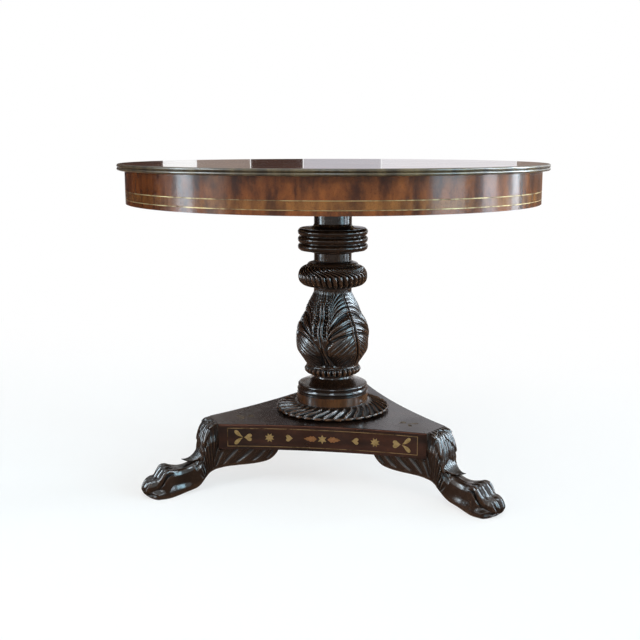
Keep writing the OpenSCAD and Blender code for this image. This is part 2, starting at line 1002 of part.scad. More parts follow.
// The legs

// Rungs from a leg's inner end to its toe tips. Each rung joins a point on the upper
// edge to one on the lower edge. A place is -1 at the bracket's end, 0 at the plinth's
// canted corner and 1 at the toe tips. A level is 0 on the floor, 1 at the plinth's
// underside and 2 at its top. Then come the half width as a blend of ankle, knee and
// paw, the rounding of the upper and lower edges, and the share of the toe furrows.
LEG_RUNGS = [
    [-1.00, 1.00, -0.99, 0.93, 0, 0.72, 0.4, 3, 0],
    [-0.91, 1.00, -0.933, 0.745, 0, 0.80, 0.4, 8, 0],
    [-0.79, 1.00, -0.825, 0.615, 0, 0.85, 0.4, 10, 0],
    [-0.65, 1.00, -0.675, 0.565, 0, 0.88, 0.4, 12, 0],
    [-0.47, 1.00, -0.494, 0.555, 0, 0.92, 0.4, 12, 0],
    [-0.28, 1.00, -0.307, 0.56, 0, 0.95, 0.4, 12, 0],
    [-0.11, 1.00, -0.146, 0.56, 0, 0.98, 0.4, 12, 0],
    [0.00, 1.00, -0.036, 0.545, 0, 1.00, 0.4, 12, 0],
    [0.00, 1.36, 0.039, 0.525, 0, 1.00, 0.4, 12, 0],
    [0.00, 1.72, 0.081, 0.50, 0, 1.00, 0.4, 12, 0],
    [0.00, 1.985, 0.112, 0.471, 0, 1.00, 0.4, 12, 0],
    [0.051, 2.00, 0.133, 0.445, 0, 1.00, 5, 12, 0],
    [0.112, 1.93, 0.151, 0.415, 0, 1.00, 10, 12, 0],
    [0.166, 1.717, 0.167, 0.38, 0, 1.00, 13, 12, 0],
    [0.205, 1.375, 0.18, 0.345, 0.1, 0.90, 15, 12, 0],
    [0.224, 1.017, 0.192, 0.30, 0.3, 0.70, 16, 12, 0],
    [0.233, 0.876, 0.206, 0.245, 0.5, 0.50, 16, 13, 0],
    [0.266, 0.771, 0.225, 0.175, 0.8, 0.20, 16, 14, 0],
    [0.342, 0.681, 0.26, 0.115, 1, 0, 16, 14, 0],
    [0.427, 0.629, 0.325, 0.075, 1, 0, 16, 14, 0],
    [0.518, 0.61, 0.415, 0.042, 0.9, 0, 16, 14, 0],
    [0.602, 0.624, 0.505, 0.02, 0.6, 0, 17, 14, 0.3],
    [0.669, 0.652, 0.588, 0.005, 0.3, 0, 19, 14, 0.8],
    [0.73, 0.624, 0.657, 0, 0.1, 0, 20, 13, 1],
    [0.784, 0.538, 0.718, 0, 0.02, 0, 20, 12, 0.9],
    [0.845, 0.452, 0.778, 0, 0, 0, 20, 12, 0.7],
    [0.912, 0.405, 0.839, 0, 0, 0, 18, 12, 0.8],
    [0.96, 0.338, 0.893, 0.014, 0.08, 0, 16, 12, 0.9],
    [0.993, 0.238, 0.942, 0.048, 0.3, 0, 10, 9, 0.8],
    [1.00, 0.162, 0.969, 0.081, 0.6, 0, 4, 4, 0.4],
    [0.987, 0.114, 0.981, 0.10, 0.8, 0, 1, 0.8, 0.1]
];

rung_steps = 2;
upper_pts = 21;
lower_pts = 9;
toes = 4;
toe_roundness = 0.7;
most_round = 0.48;

function place(p) = cant_r + leg_gap + (p < 0 ? p * bracket_l : p * leg_reach);
function level(v) = min(v, 1) * (plinth_clear - leg_gap) + max(v - 1, 0) * plinth_t;
function seated(p) =
    p[0] < 0 && p[1] > 1 ? (p[1] - 1 < -p[0] ? [p[0], 1] : [0, p[1]]) : p;

// How far an edge drops at the given share of its half width
function edge_drop(share, half, round_r) =
    let (over = max(0, abs(share) * half - half + round_r))
        round_r - sqrt(max(0, round_r * round_r - over * over));

function furrow(share) = 1 - pow(abs(sin(180 * toes * (share + 1) / 2)), toe_roundness);

// One ring of points round the leg
function leg_ring(rung) =
    let (
        upper = seated([rung[0], rung[1]]),
        lower = [rung[2], max(rung[3], 0)],
        a = [place(upper[0]), level(upper[1])],
        b = [place(lower[0]), level(lower[1])],
        ankle = min(max(rung[4], 0), 1),
        knee = min(max(rung[5], 0), 1.1),
        half = (knee * knee_w + ankle * ankle_w + max(1 - knee - ankle, 0) * paw_w) / 2,
        span = norm(a - b),
        dir = (a - b) / span,
        round_up = min(rung[6], half - 1, span * most_round),
        round_low = min(rung[7], half - 1, span * most_round)
    )
    concat(
        [for (i = [0 : upper_pts - 1])
            let (
                share = cos(180 * i / (upper_pts - 1)),
                v = span - edge_drop(share, half, round_up) - rung[8] * toe_depth * furrow(share)
            )
            [b[0] + dir[0] * v, share * half, b[1] + dir[1] * v]],
        [for (i = [0 : lower_pts - 1])
            let (
                share = -cos(180 * i / (lower_pts - 1)),
                v = edge_drop(share, half, round_low)
            )
            [b[0] + dir[0] * v, share * half, b[1] + dir[1] * v]]
    );

module leg_solid() {
    rungs = curve(LEG_RUNGS, rung_steps);
    rings = [for (r = rungs) leg_ring(r)];
    per = upper_pts + lower_pts;
    last = len(rings) - 1;
    points = [for (ring = rings) for (p = ring) p];
    faces = concat(
        [[for (j = [0 : per - 1]) j]],
        [for (i = [0 : last - 1])
            for (j = [0 : per - 1])
                for (half = [0, 1])
                    let (a = i * per + j, b = i * per + (j + 1) % per, c = a + per, d = b + per)
                        half == 0 ? [a, c, b] : [b, c, d]],
        [[for (j = [per - 1 : -1 : 0]) last * per + j]]
    );
    polyhedron(points = points, faces = faces, convexity = 6);
}

module leg(turn) {
    color(DARK_WOOD)
        difference() {
            rotate([0, 0, turn])
                leg_solid();
            dowel_places(dowel_r + inlay_gap, tenon_gap);
            leg_screw_places(screw_r + inlay_gap);
            leg_screw_places(screw_head_r + inlay_gap, plinth_clear / 2);
        }
}

module left_leg() {
    leg(LEFT_LEG);
}

module right_leg() {
    leg(RIGHT_LEG);
}

module back_leg() {
    leg(BACK_LEG);
}

// The dowels from the plinth's canted corners into the knees, or the holes for them
module dowel_places(radius, spare) {
    in_leg = min(dowel_l / 2, leg_reach * dowel_bite);
    start = cant_r + in_leg - dowel_l - spare;
    middle = plinth_clear + plinth_t / 2;
    for (turn = [LEFT_LEG, RIGHT_LEG, BACK_LEG], across = [-1, 1])
        rotate([0, 0, turn])
            translate([start, across * dowel_spread * knee_w, middle])
                rotate([0, 90, 0])
                    cylinder(r = radius, h = dowel_l + 2 * spare);
}

module leg_dowels() {
    color(CORE_WOOD)
        dowel_places(dowel_r, 0);
}

// The screws that hold the brackets under the plinth, their holes, or with a depth
// their sunk holes below the heads
module leg_screw_places(radius, depth = 0) {
    head_z = level(leg_screw_level) + leg_screw_sink;
    for (turn = [LEFT_LEG, RIGHT_LEG, BACK_LEG], spot = leg_screw_spots)
        rotate([0, 0, turn])
            translate([cant_r - spot * bracket_l, 0, head_z - depth])
                if (depth > 0)
                    cylinder(r = radius, h = depth + screw_head_h);
                else
                    screw(plinth_clear + leg_screw_bite - head_z, radius, screw_head_r, screw_head_h);
}

module leg_screws() {
    color(STEEL)
        leg_screw_places(screw_r);
}

top_board();
top_veneer();
edge_moulding();
frieze_upper_course();
frieze_lower_course();
frieze_veneer();
frieze_brass_lines();
glue_block_ring();
left_bearer();
right_bearer();
bearer_screws();
left_pivot_pin();
right_pivot_pin();
left_bolt_plate();
right_bolt_plate();
bolt_plate_screws();
left_bolt();
right_bolt();
block();
block_wedge();
left_keeper();
right_keeper();
keeper_screws();
ring_collar();
gadroon_collar();
baluster();
bead_ring();
turned_base();
petal_boss();
plinth_core();
plinth_wedge();
plinth_top_veneer();
plinth_front_veneer();
plinth_right_veneer();
plinth_left_veneer();
brass_borders();
brass_stars();
brass_hearts();
brass_drops();
brass_leaves();
brass_corner_hearts();
left_leg();
right_leg();
back_leg();
leg_dowels();
leg_screws();
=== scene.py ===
"""Pedestal centre table with a tilting round top: its carving, finishes, light and camera.

The column's turned members, the plinth, the top and the tilting gear come from the frame and get their
finishes here. The carved members (gadrooned collar, leafed baluster, scalloped ring, petalled boss and paw
legs) are modelled here in the same places. Lengths are in metres, and +Z is up.
"""

import logging
import math
from dataclasses import dataclass, field
from enum import Enum

import bmesh
import bpy
import numpy as np
from mathutils import Matrix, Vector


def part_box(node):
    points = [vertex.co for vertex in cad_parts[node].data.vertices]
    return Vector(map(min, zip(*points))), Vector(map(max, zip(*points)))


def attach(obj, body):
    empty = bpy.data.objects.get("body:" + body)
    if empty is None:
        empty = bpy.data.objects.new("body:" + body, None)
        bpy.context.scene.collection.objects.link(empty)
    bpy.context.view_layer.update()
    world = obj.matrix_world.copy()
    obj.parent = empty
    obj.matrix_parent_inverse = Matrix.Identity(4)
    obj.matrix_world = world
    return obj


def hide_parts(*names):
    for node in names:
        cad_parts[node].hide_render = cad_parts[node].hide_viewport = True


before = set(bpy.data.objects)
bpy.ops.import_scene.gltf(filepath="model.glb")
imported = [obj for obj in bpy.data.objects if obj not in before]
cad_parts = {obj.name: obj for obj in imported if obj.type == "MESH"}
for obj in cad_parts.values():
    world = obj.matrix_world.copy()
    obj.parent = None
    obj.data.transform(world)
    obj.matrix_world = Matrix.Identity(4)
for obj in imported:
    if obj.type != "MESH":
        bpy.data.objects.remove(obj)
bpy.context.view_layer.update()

LOG = logging.getLogger("table")
MM = 0.001
SIDES = ("left", "right")
Array = np.ndarray
Colour = tuple[float, float, float]
Span = tuple[float, float]
Sections = dict[str, Array]


def paint(red: int, green: int, blue: int) -> Colour:
    """Turn a colour as seen on a screen, 0 to 255, into the linear values that shaders take.

    Args:
        red: The red share.
        green: The green share.
        blue: The blue share.

    Returns:
        The three linear values.
    """
    shares = (red / 255, green / 255, blue / 255)
    knee, slope, shift, power = 0.04045, 12.92, 0.055, 2.4
    return tuple(s / slope if s <= knee else ((s + shift) / (1 + shift)) ** power for s in shares)


def smoothstep(low: float, high: float, value: Array) -> Array:
    """Rise smoothly from 0 at low to 1 at high.

    Args:
        low: Where the rise begins.
        high: Where it ends.
        value: The places to work it out at.

    Returns:
        The share at each place.
    """
    t = np.clip((value - low) / (high - low), 0, 1)
    return t * t * (3 - 2 * t)


def bump(centre: float, width: float, value: Array) -> Array:
    """Give a soft round bump of height 1.

    Args:
        centre: Where the bump is highest.
        width: Its half width.
        value: The places to work it out at.

    Returns:
        The bump's height at each place.
    """
    return np.exp(-(((value - centre) / width) ** 2))


def furrows(turns: Array, power: float) -> Array:
    """Give furrows of depth 1 at whole numbers, with round ridges between them.

    Args:
        turns: The places, where each whole number is a furrow.
        power: How sharp the furrows are: less is narrower.

    Returns:
        The furrows' depth at each place.
    """
    return 1 - np.abs(np.sin(math.pi * turns)) ** power


def smooth_curve(points: Array, steps: int) -> Array:
    """Draw a smooth curve through rows of values.

    Args:
        points: One row for each point that the curve passes.
        steps: The number of steps between two points.

    Returns:
        The curve's rows.
    """
    rows = []
    last = len(points) - 1
    for i in range(last):
        a, b, c, d = points[max(i - 1, 0)], points[i], points[i + 1], points[min(i + 2, last)]
        for k in range(steps):
            t = k / steps
            square = (2 * a - 5 * b + 4 * c - d) * t**2
            cube = (3 * b - a - 3 * c + d) * t**3
            rows.append(0.5 * (2 * b + (c - a) * t + square + cube))
    rows.append(points[last])
    return np.array(rows)


class Bench:
    """The modelling bench: the operators that several pieces share."""

    @staticmethod
    def clear() -> None:
        """Leave edit mode and deselect everything."""
        if bpy.context.object and bpy.context.object.mode != "OBJECT":
            bpy.ops.object.mode_set(mode="OBJECT")
        bpy.ops.object.select_all(action="DESELECT")

    @staticmethod
    def take(piece: bpy.types.Object) -> None:
        """Select one piece alone and make it the active one.

        Args:
            piece: The piece.
        """
        Bench.clear()
        piece.select_set(True)
        bpy.context.view_layer.objects.active = piece

    @staticmethod
    def edit(piece: bpy.types.Object) -> None:
        """Open one piece in edit mode.

        Args:
            piece: The piece.
        """
        Bench.take(piece)
        bpy.ops.object.mode_set(mode="EDIT")
        bpy.ops.mesh.select_mode(type="VERT")

    @staticmethod
    def close(merge: float = 1e-6) -> None:
        """Merge doubles, fill open ends and turn all faces outwards, then leave edit mode.

        Args:
            merge: The distance under which points become one.
        """
        bpy.ops.mesh.select_all(action="SELECT")
        bpy.ops.mesh.remove_doubles(threshold=merge)
        bpy.ops.mesh.fill_holes(sides=0)
        bpy.ops.mesh.normals_make_consistent(inside=False)
        bpy.ops.object.mode_set(mode="OBJECT")

    @staticmethod
    def spin(name: str, outline: Array, steps: int) -> bpy.types.Object:
        """Turn an outline into a solid, as on a lathe.

        Args:
            name: The piece's name.
            outline: Rows of radius and height, from the lower end up.
            steps: The number of steps round the axis.

        Returns:
            The turned piece.
        """
        Bench.clear()
        bpy.ops.mesh.primitive_circle_add(vertices=3, radius=float(outline[0, 0]))
        piece = bpy.context.object
        piece.name = name
        Bench.edit(piece)
        bpy.ops.mesh.select_all(action="DESELECT")
        mesh = bmesh.from_edit_mesh(piece.data)
        mesh.verts.ensure_lookup_table()
        for spare in mesh.verts[1:]:
            spare.select_set(True)
        bpy.ops.mesh.delete(type="VERT")
        mesh = bmesh.from_edit_mesh(piece.data)
        mesh.verts.ensure_lookup_table()
        mesh.verts[0].co = (outline[0, 0], 0, outline[0, 1])
        mesh.verts[0].select_set(True)
        for out, up in np.diff(outline, axis=0):
            bpy.ops.mesh.extrude_region_move(TRANSFORM_OT_translate={"value": (float(out), 0, float(up))})
        bpy.ops.mesh.select_all(action="SELECT")
        bpy.ops.mesh.spin(steps=steps, angle=math.tau, center=(0, 0, 0), axis=(0, 0, 1), use_auto_merge=True)
        Bench.close()
        return piece

    @staticmethod
    def wrap(name: str, points: Array, tube: bool) -> bpy.types.Object:
        """Wrap a grid primitive over rows of points, for a skin that no turning or extrusion gives.

        Args:
            name: The piece's name.
            points: The places, as rows by columns by three.
            tube: Whether the last column meets the first and both ends are closed.

        Returns:
            The wrapped piece.
        """
        if tube:
            points = np.concatenate([points, points[:, :1]], axis=1)
        rows, columns = points.shape[:2]
        Bench.clear()
        bpy.ops.mesh.primitive_grid_add(x_subdivisions=columns - 1, y_subdivisions=rows - 1, size=1)
        piece = bpy.context.object
        piece.name = name
        piece.data.vertices.foreach_set("co", points.astype(np.float32).ravel())
        piece.data.update()
        if tube:
            Bench.edit(piece)
            Bench.close()
        return piece

    @staticmethod
    def join(name: str, parts: list[bpy.types.Object]) -> bpy.types.Object:
        """Join several meshes into one piece.

        Args:
            name: The joined piece's name.
            parts: The meshes, of which the first takes in the others.

        Returns:
            The joined piece.
        """
        Bench.clear()
        for part in parts:
            part.select_set(True)
        bpy.context.view_layer.objects.active = parts[0]
        bpy.ops.object.join()
        parts[0].name = name
        return parts[0]

    @staticmethod
    def places(piece: bpy.types.Object) -> Array:
        """Read the places of a piece's points.

        Args:
            piece: The piece.

        Returns:
            One row of three for each point.
        """
        flat = np.zeros(len(piece.data.vertices) * 3)
        piece.data.vertices.foreach_get("co", flat)
        return flat.reshape(-1, 3)

    @staticmethod
    def relieve(piece: bpy.types.Object, blur: int = 14, scale: float = 0.0012, edge: float = 62) -> None:
        """Shade a carved piece smoothly and store how far each point stands out of its surroundings.

        Args:
            piece: The piece.
            blur: How many rings of neighbours count as surroundings.
            scale: The height that counts as fully raised.
            edge: The angle in degrees from which an edge stays sharp.
        """
        Bench.take(piece)
        bpy.ops.object.shade_smooth_by_angle(angle=math.radians(edge))
        mesh = piece.data
        points = Bench.places(piece)
        ends = np.zeros(len(mesh.edges) * 2, int)
        mesh.edges.foreach_get("vertices", ends)
        first, second = ends.reshape(-1, 2).T
        count = len(points)
        around = np.bincount(first, minlength=count) + np.bincount(second, minlength=count)
        around = np.maximum(around, 1)
        soft = points.copy()
        for _ in range(blur):
            for axis in range(3):
                before = np.bincount(first, soft[second, axis], count)
                after = np.bincount(second, soft[first, axis], count)
                soft[:, axis] = (before + after) / around
        normals = np.zeros(count * 3)
        mesh.vertex_normals.foreach_get("vector", normals)
        height = ((points - soft) * normals.reshape(-1, 3)).sum(axis=1)
        relief = mesh.attributes.new("relief", "FLOAT", "POINT")
        relief.data.foreach_set("value", np.clip(height / scale, -1, 1).astype(np.float32))

    @staticmethod
    def add(
        piece: bpy.types.Object, body: str, slot: str, finish: bpy.types.Material, replaces: str = ""
    ) -> None:
        """Dress a finished piece and hang it on the frame.

        Args:
            piece: The piece.
            body: The body that it moves with.
            slot: Not used.
            finish: Its material.
            replaces: The solid that it stands for, if any.
        """
        piece.data.materials.clear()
        piece.data.materials.append(finish)
        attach(piece, body)
        if replaces:
            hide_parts(replaces)
        LOG.info("%s: %d faces on %s", piece.name, len(piece.data.polygons), body)


class Nodes:
    """A node tree with short ways to add and join nodes."""

    def __init__(self, tree: bpy.types.NodeTree) -> None:
        """Take the tree and empty it.

        Args:
            tree: The tree to fill.
        """
        self.tree = tree
        tree.nodes.clear()

    def add(self, kind: str, settings: dict[str, object] | None = None, **sockets: object) -> bpy.types.Node:
        """Add a node and set or link its inputs.

        Args:
            kind: The node's type, without its prefix.
            settings: The node's own properties.
            sockets: Values or other nodes' outputs for its inputs, with _ for a space in a name, or i and a
                number.

        Returns:
            The node.
        """
        node = self.tree.nodes.new(kind if kind.startswith("Node") else "ShaderNode" + kind)
        for key, value in (settings or {}).items():
            setattr(node, key, value)
        for key, value in sockets.items():
            numbered = key[0] == "i" and key[1:].isdigit()
            self.feed(node, int(key[1:]) if numbered else key.replace("_", " "), value)
        return node

    def feed(self, node: bpy.types.Node, socket: str | int, value: object) -> None:
        """Set one input, or link another node's output to it.

        Args:
            node: The node.
            socket: The input's name or number.
            value: A value, or an output.
        """
        target = node.inputs[socket]
        if isinstance(value, bpy.types.NodeSocket):
            self.tree.links.new(value, target)
        elif target.type == "RGBA" and len(value) == 3:
            target.default_value = (*value, 1)
        else:
            target.default_value = value

    def maths(self, operation: str, a: object, b: object = 0.0, c: object = 0.0) -> bpy.types.NodeSocket:
        """Work out one sum of up to three numbers.

        Args:
            operation: The operation's name.
            a: The first number or output.
            b: The second.
            c: The third.

        Returns:
            The result's output.
        """
        return self.add("Math", {"operation": operation}, i0=a, i1=b, i2=c).outputs[0]

    def blend(self, share: object, a: object, b: object) -> bpy.types.NodeSocket:
        """Mix two colours.

        Args:
            share: The second colour's share.
            a: The first colour.
            b: The second colour.

        Returns:
            The mixed colour's output.
        """
        node = self.add("Mix", {"data_type": "RGBA"}, i0=share, i6=a, i7=b)
        return node.outputs[2]

    def ramp(
        self, value: object, low: float, high: float, start: float = 0.0, end: float = 1.0
    ) -> bpy.types.NodeSocket:
        """Map a value smoothly from one range to another.

        Args:
            value: The value.
            low: The value that gives start.
            high: The value that gives end.
            start: The result at low.
            end: The result at high.

        Returns:
            The mapped value's output.
        """
        settings = {"interpolation_type": "SMOOTHSTEP"}
        return self.add("MapRange", settings, i0=value, i1=low, i2=high, i3=start, i4=end).outputs[0]


class Socket(Enum):
    """The kinds of socket that the shared groups have."""

    NUMBER = "NodeSocketFloat"
    PLACE = "NodeSocketVector"


def new_group(
    name: str, numbers: tuple[str, ...], results: tuple[str, ...]
) -> tuple[Nodes, bpy.types.Node, bpy.types.Node]:
    """Start a shared node group that takes a place and some numbers.

    Args:
        name: The group's name.
        numbers: The names of its inputs after the place.
        results: The names of its outputs, which are numbers too.

    Returns:
        The group's nodes, its input node and its output node.
    """
    tree = bpy.data.node_groups.new(name, "ShaderNodeTree")
    inputs = {"Place": Socket.PLACE} | dict.fromkeys(numbers, Socket.NUMBER)
    outputs = dict.fromkeys(results, Socket.NUMBER)
    for direction, sockets in (("INPUT", inputs), ("OUTPUT", outputs)):
        for label, kind in sockets.items():
            tree.interface.new_socket(label, in_out=direction, socket_type=kind.value)
    nodes = Nodes(tree)
    return nodes, nodes.add("NodeGroupInput"), nodes.add("NodeGroupOutput")


def grain_group() -> bpy.types.NodeTree:
    """Build the group that draws a wood's figure and pores.

    Returns:
        The group, which puts out a tone, the pores and a height.
    """
    nodes, given, result = new_group("wood_grain", ("Bands", "Warp", "Pores"), ("Tone", "Pore", "Height"))
    start, bands, warp, fineness = (given.outputs[name] for name in ("Place", "Bands", "Warp", "Pores"))
    drift = nodes.add("TexNoise", Vector=start, Scale=5.0, Detail=2.0).outputs["Color"]
    centred = nodes.add("VectorMath", {"operation": "SUBTRACT"}, i0=drift, i1=(0.5, 0.5, 0.5)).outputs[0]
    pushed = nodes.add("VectorMath", {"operation": "SCALE"}, i0=centred, Scale=warp).outputs[0]
    place = nodes.add("VectorMath", {"operation": "ADD"}, i0=start, i1=pushed).outputs[0]
    figure = nodes.add("TexNoise", Vector=place, Scale=bands, Detail=6.0, Roughness=0.6)
    tone = nodes.ramp(figure.outputs[0], low=0.3, high=0.7)
    pores = nodes.add("TexNoise", Vector=place, Scale=fineness, Detail=1.0)
    pore = nodes.ramp(pores.outputs[0], low=0.58, high=0.68)
    height = nodes.maths("MULTIPLY_ADD", tone, 0.4, nodes.maths("MULTIPLY", pore, -0.6))
    nodes.feed(result, "Tone", tone)
    nodes.feed(result, "Pore", pore)
    nodes.feed(result, "Height", height)
    return nodes.tree


def age_group() -> bpy.types.NodeTree:
    """Build the group that tells worn edges, hollows darkened by dirt and painted shade, and a hazy polish
    from a piece's relief.

    Returns:
        The group, which puts out three masks.
    """
    nodes, given, result = new_group("age", ("Relief", "Wear", "Dirt"), ("Worn", "Dirty and shaded", "Haze"))
    place, relief, wear, dirt = (given.outputs[name] for name in ("Place", "Relief", "Wear", "Dirt"))
    patches = nodes.add("TexNoise", Vector=place, Scale=22.0, Detail=5.0, Roughness=0.65)
    uneven = nodes.maths("SUBTRACT", patches.outputs[0], 0.5)
    raised = nodes.maths("MULTIPLY_ADD", uneven, 2.4, relief)
    worn = nodes.maths("MULTIPLY", nodes.ramp(raised, low=0.2, high=0.9), wear)
    # Hollows mask: real dirt in the recesses, and painted shade where they fall dark
    sunk = nodes.maths("MULTIPLY_ADD", uneven, 0.5, nodes.maths("MULTIPLY", relief, -1.0))
    dirty_and_shaded = nodes.maths("MULTIPLY", nodes.ramp(sunk, low=0.04, high=0.5), dirt)
    clouds = nodes.add("TexNoise", Vector=place, Scale=9.0, Detail=3.0)
    nodes.feed(result, "Worn", worn)
    nodes.feed(result, "Dirty and shaded", dirty_and_shaded)
    nodes.feed(result, "Haze", nodes.ramp(clouds.outputs[0], low=0.35, high=0.7))
    return nodes.tree


class Lay(Enum):
    """How a wood's grain lies on its piece."""

    UPRIGHT = "upright"
    AROUND = "around"
    SECTORS = "sectors"
    LENGTHWISE = "lengthwise"


@dataclass(frozen=True)
class Wood:
    """A polished wood finish.

    The colours are the figure's dark and light parts, the bare wood where it is worn, and the colour that
    darkens its open pores and, as dirt and painted shade, its hollows. A band between two heights may have
    colours of its own. Wood that goes round the axis is drawn as matched sections: girth is the radius that
    their length is measured at, and offset parts one pair from the next.
    """

    name: str
    dark: Colour
    light: Colour
    worn: Colour
    # Colour of the open pores, and of the dirt and painted shade in the hollows
    dirt: Colour
    lay: Lay = Lay.UPRIGHT
    turn: float = 0.0
    bands: float = 30.0
    stretch: float = 0.12
    warp: float = 0.02
    pores: float = 900.0
    wear: float = 0.5
    # How strongly the hollows take dirt and painted shade
    soil_and_shade: float = 0.8
    gloss: float = 0.3
    haze: float = 0.12
    polish: float = 0.3
    polish_roughness: float = 0.12
    shine: float = 0.5
    sections: int = 8
    girth: float = 0.47
    offset: float = 3.7
    bump: float = 0.25
    bump_height: float = 0.0004
    pore_shade: float = 0.45
    dirt_and_shade_roughness: float = 0.2
    band: Span = (0.0, 0.0)
    band_dark: Colour = (0.0, 0.0, 0.0)
    band_light: Colour = (0.0, 0.0, 0.0)
    faded: Colour = (0.0, 0.0, 0.0)
    fading: float = 0.0

    def place(self, nodes: Nodes) -> bpy.types.NodeSocket:
        """Lay the grain along the piece.

        Args:
            nodes: The material's nodes.

        Returns:
            The place that the grain is drawn at.
        """
        spot = nodes.add("TexCoord").outputs["Object"]
        if self.lay is Lay.UPRIGHT:
            scale = (1, 1, self.stretch)
        elif self.lay is Lay.LENGTHWISE:
            scale = (self.stretch, 1, 1)
        else:
            return self.round_place(nodes, spot)
        turned = nodes.add("Mapping", i0=spot, i2=(0, 0, -math.radians(self.turn)))
        return nodes.add("Mapping", i0=turned.outputs[0], i3=scale).outputs[0]

    def round_place(self, nodes: Nodes, spot: bpy.types.NodeSocket) -> bpy.types.NodeSocket:
        """Lay the grain in matched sections round the axis.

        Args:
            nodes: The material's nodes.
            spot: The place on the piece.

        Returns:
            The place that the grain is drawn at.
        """
        axes = nodes.add("SeparateXYZ", i0=spot)
        angle = nodes.maths("ARCTAN2", axes.outputs[1], axes.outputs[0])
        turns = nodes.maths("MULTIPLY", nodes.maths("ADD", angle, math.pi), self.sections / math.tau)
        across = nodes.maths("PINGPONG", turns, 1.0)
        width = math.tau / self.sections
        if self.lay is Lay.SECTORS:
            flat = nodes.add("CombineXYZ", i0=axes.outputs[0], i1=axes.outputs[1])
            radius = nodes.add("VectorMath", {"operation": "LENGTH"}, i0=flat.outputs[0]).outputs["Value"]
            swing = nodes.maths("MULTIPLY", across, width)
            out = nodes.maths("MULTIPLY", nodes.maths("COSINE", swing), radius)
            side = nodes.maths("MULTIPLY", nodes.maths("SINE", swing), radius)
            along = nodes.maths("MULTIPLY", out, self.stretch)
            return nodes.add("CombineXYZ", i0=along, i1=side).outputs[0]
        along = nodes.maths("MULTIPLY", across, width * self.girth)
        level = nodes.maths("MULTIPLY", axes.outputs[2], self.stretch)
        pair = nodes.maths("FLOOR", nodes.maths("MULTIPLY", turns, 0.5))
        apart = nodes.maths("MULTIPLY", pair, self.offset)
        return nodes.add("CombineXYZ", i0=along, i1=level, i2=apart).outputs[0]

    def material(self) -> bpy.types.Material:
        """Build the finish as a material.

        Returns:
            The material.
        """
        made = bpy.data.materials.new(self.name)
        made.use_nodes = True
        nodes = Nodes(made.node_tree)
        spot = nodes.add("TexCoord").outputs["Object"]
        grain = nodes.add(
            "Group",
            {"node_tree": bpy.data.node_groups["wood_grain"]},
            Place=self.place(nodes),
            Bands=self.bands,
            Warp=self.warp,
            Pores=self.pores,
        )
        age = nodes.add(
            "Group",
            {"node_tree": bpy.data.node_groups["age"]},
            Place=spot,
            Relief=nodes.add("Attribute", {"attribute_name": "relief"}).outputs["Fac"],
            Wear=self.wear,
            Dirt=self.soil_and_shade,
        )
        figure = nodes.blend(grain.outputs["Tone"], self.dark, self.light)
        if self.band[1] > self.band[0]:
            level = nodes.add("SeparateXYZ", i0=spot).outputs[2]
            over = nodes.maths("GREATER_THAN", level, self.band[0])
            under = nodes.maths("LESS_THAN", level, self.band[1])
            inside = nodes.blend(grain.outputs["Tone"], self.band_dark, self.band_light)
            figure = nodes.blend(nodes.maths("MULTIPLY", over, under), figure, inside)
        if self.fading:
            bleached = nodes.maths("MULTIPLY", age.outputs["Haze"], self.fading)
            figure = nodes.blend(bleached, figure, self.faded)
        open_pores = nodes.maths("MULTIPLY", grain.outputs["Pore"], self.pore_shade)
        pored = nodes.blend(open_pores, figure, self.dirt)
        worn = nodes.blend(age.outputs["Worn"], pored, self.worn)
        # Painted shade with real grime: the hollows are darkened towards the dirt-and-shade colour
        colour = nodes.blend(age.outputs["Dirty and shaded"], worn, self.dirt)
        hazy = nodes.maths("MULTIPLY_ADD", age.outputs["Haze"], self.haze, self.gloss)
        rough = nodes.maths("MULTIPLY_ADD", age.outputs["Dirty and shaded"], self.dirt_and_shade_roughness, hazy)
        height = grain.outputs["Height"]
        relief = nodes.add("Bump", Strength=self.bump, Distance=self.bump_height, Height=height)
        shader = nodes.add(
            "BsdfPrincipled",
            Base_Color=colour,
            Roughness=rough,
            Normal=relief.outputs[0],
            Coat_Weight=self.polish,
            Coat_Roughness=self.polish_roughness,
            Specular_IOR_Level=self.shine,
        )
        nodes.add("OutputMaterial", Surface=shader.outputs[0])
        return made


@dataclass(frozen=True)
class Metal:
    """A worn metal finish."""

    name: str
    bright: Colour
    tarnish: Colour
    roughness: float = 0.34
    patches: float = 60.0
    scratches: float = 400.0
    tarnish_roughness: float = 0.25
    bump: float = 0.2
    bump_height: float = 0.0003

    def material(self) -> bpy.types.Material:
        """Build the finish as a material.

        Returns:
            The material.
        """
        made = bpy.data.materials.new(self.name)
        made.use_nodes = True
        nodes = Nodes(made.node_tree)
        spot = nodes.add("TexCoord").outputs["Object"]
        clouds = nodes.add("TexNoise", Vector=spot, Scale=self.patches, Detail=6.0, Roughness=0.65)
        tarnished = nodes.ramp(clouds.outputs[0], low=0.4, high=0.68)
        fine = nodes.add("TexNoise", Vector=spot, Scale=self.scratches, Detail=2.0)
        colour = nodes.blend(tarnished, self.bright, self.tarnish)
        rough = nodes.maths("MULTIPLY_ADD", tarnished, self.tarnish_roughness, self.roughness)
        relief = nodes.add("Bump", Strength=self.bump, Distance=self.bump_height, Height=fine.outputs[0])
        shader = nodes.add(
            "BsdfPrincipled", Base_Color=colour, Metallic=1.0, Roughness=rough, Normal=relief.outputs[0]
        )
        nodes.add("OutputMaterial", Surface=shader.outputs[0])
        return made


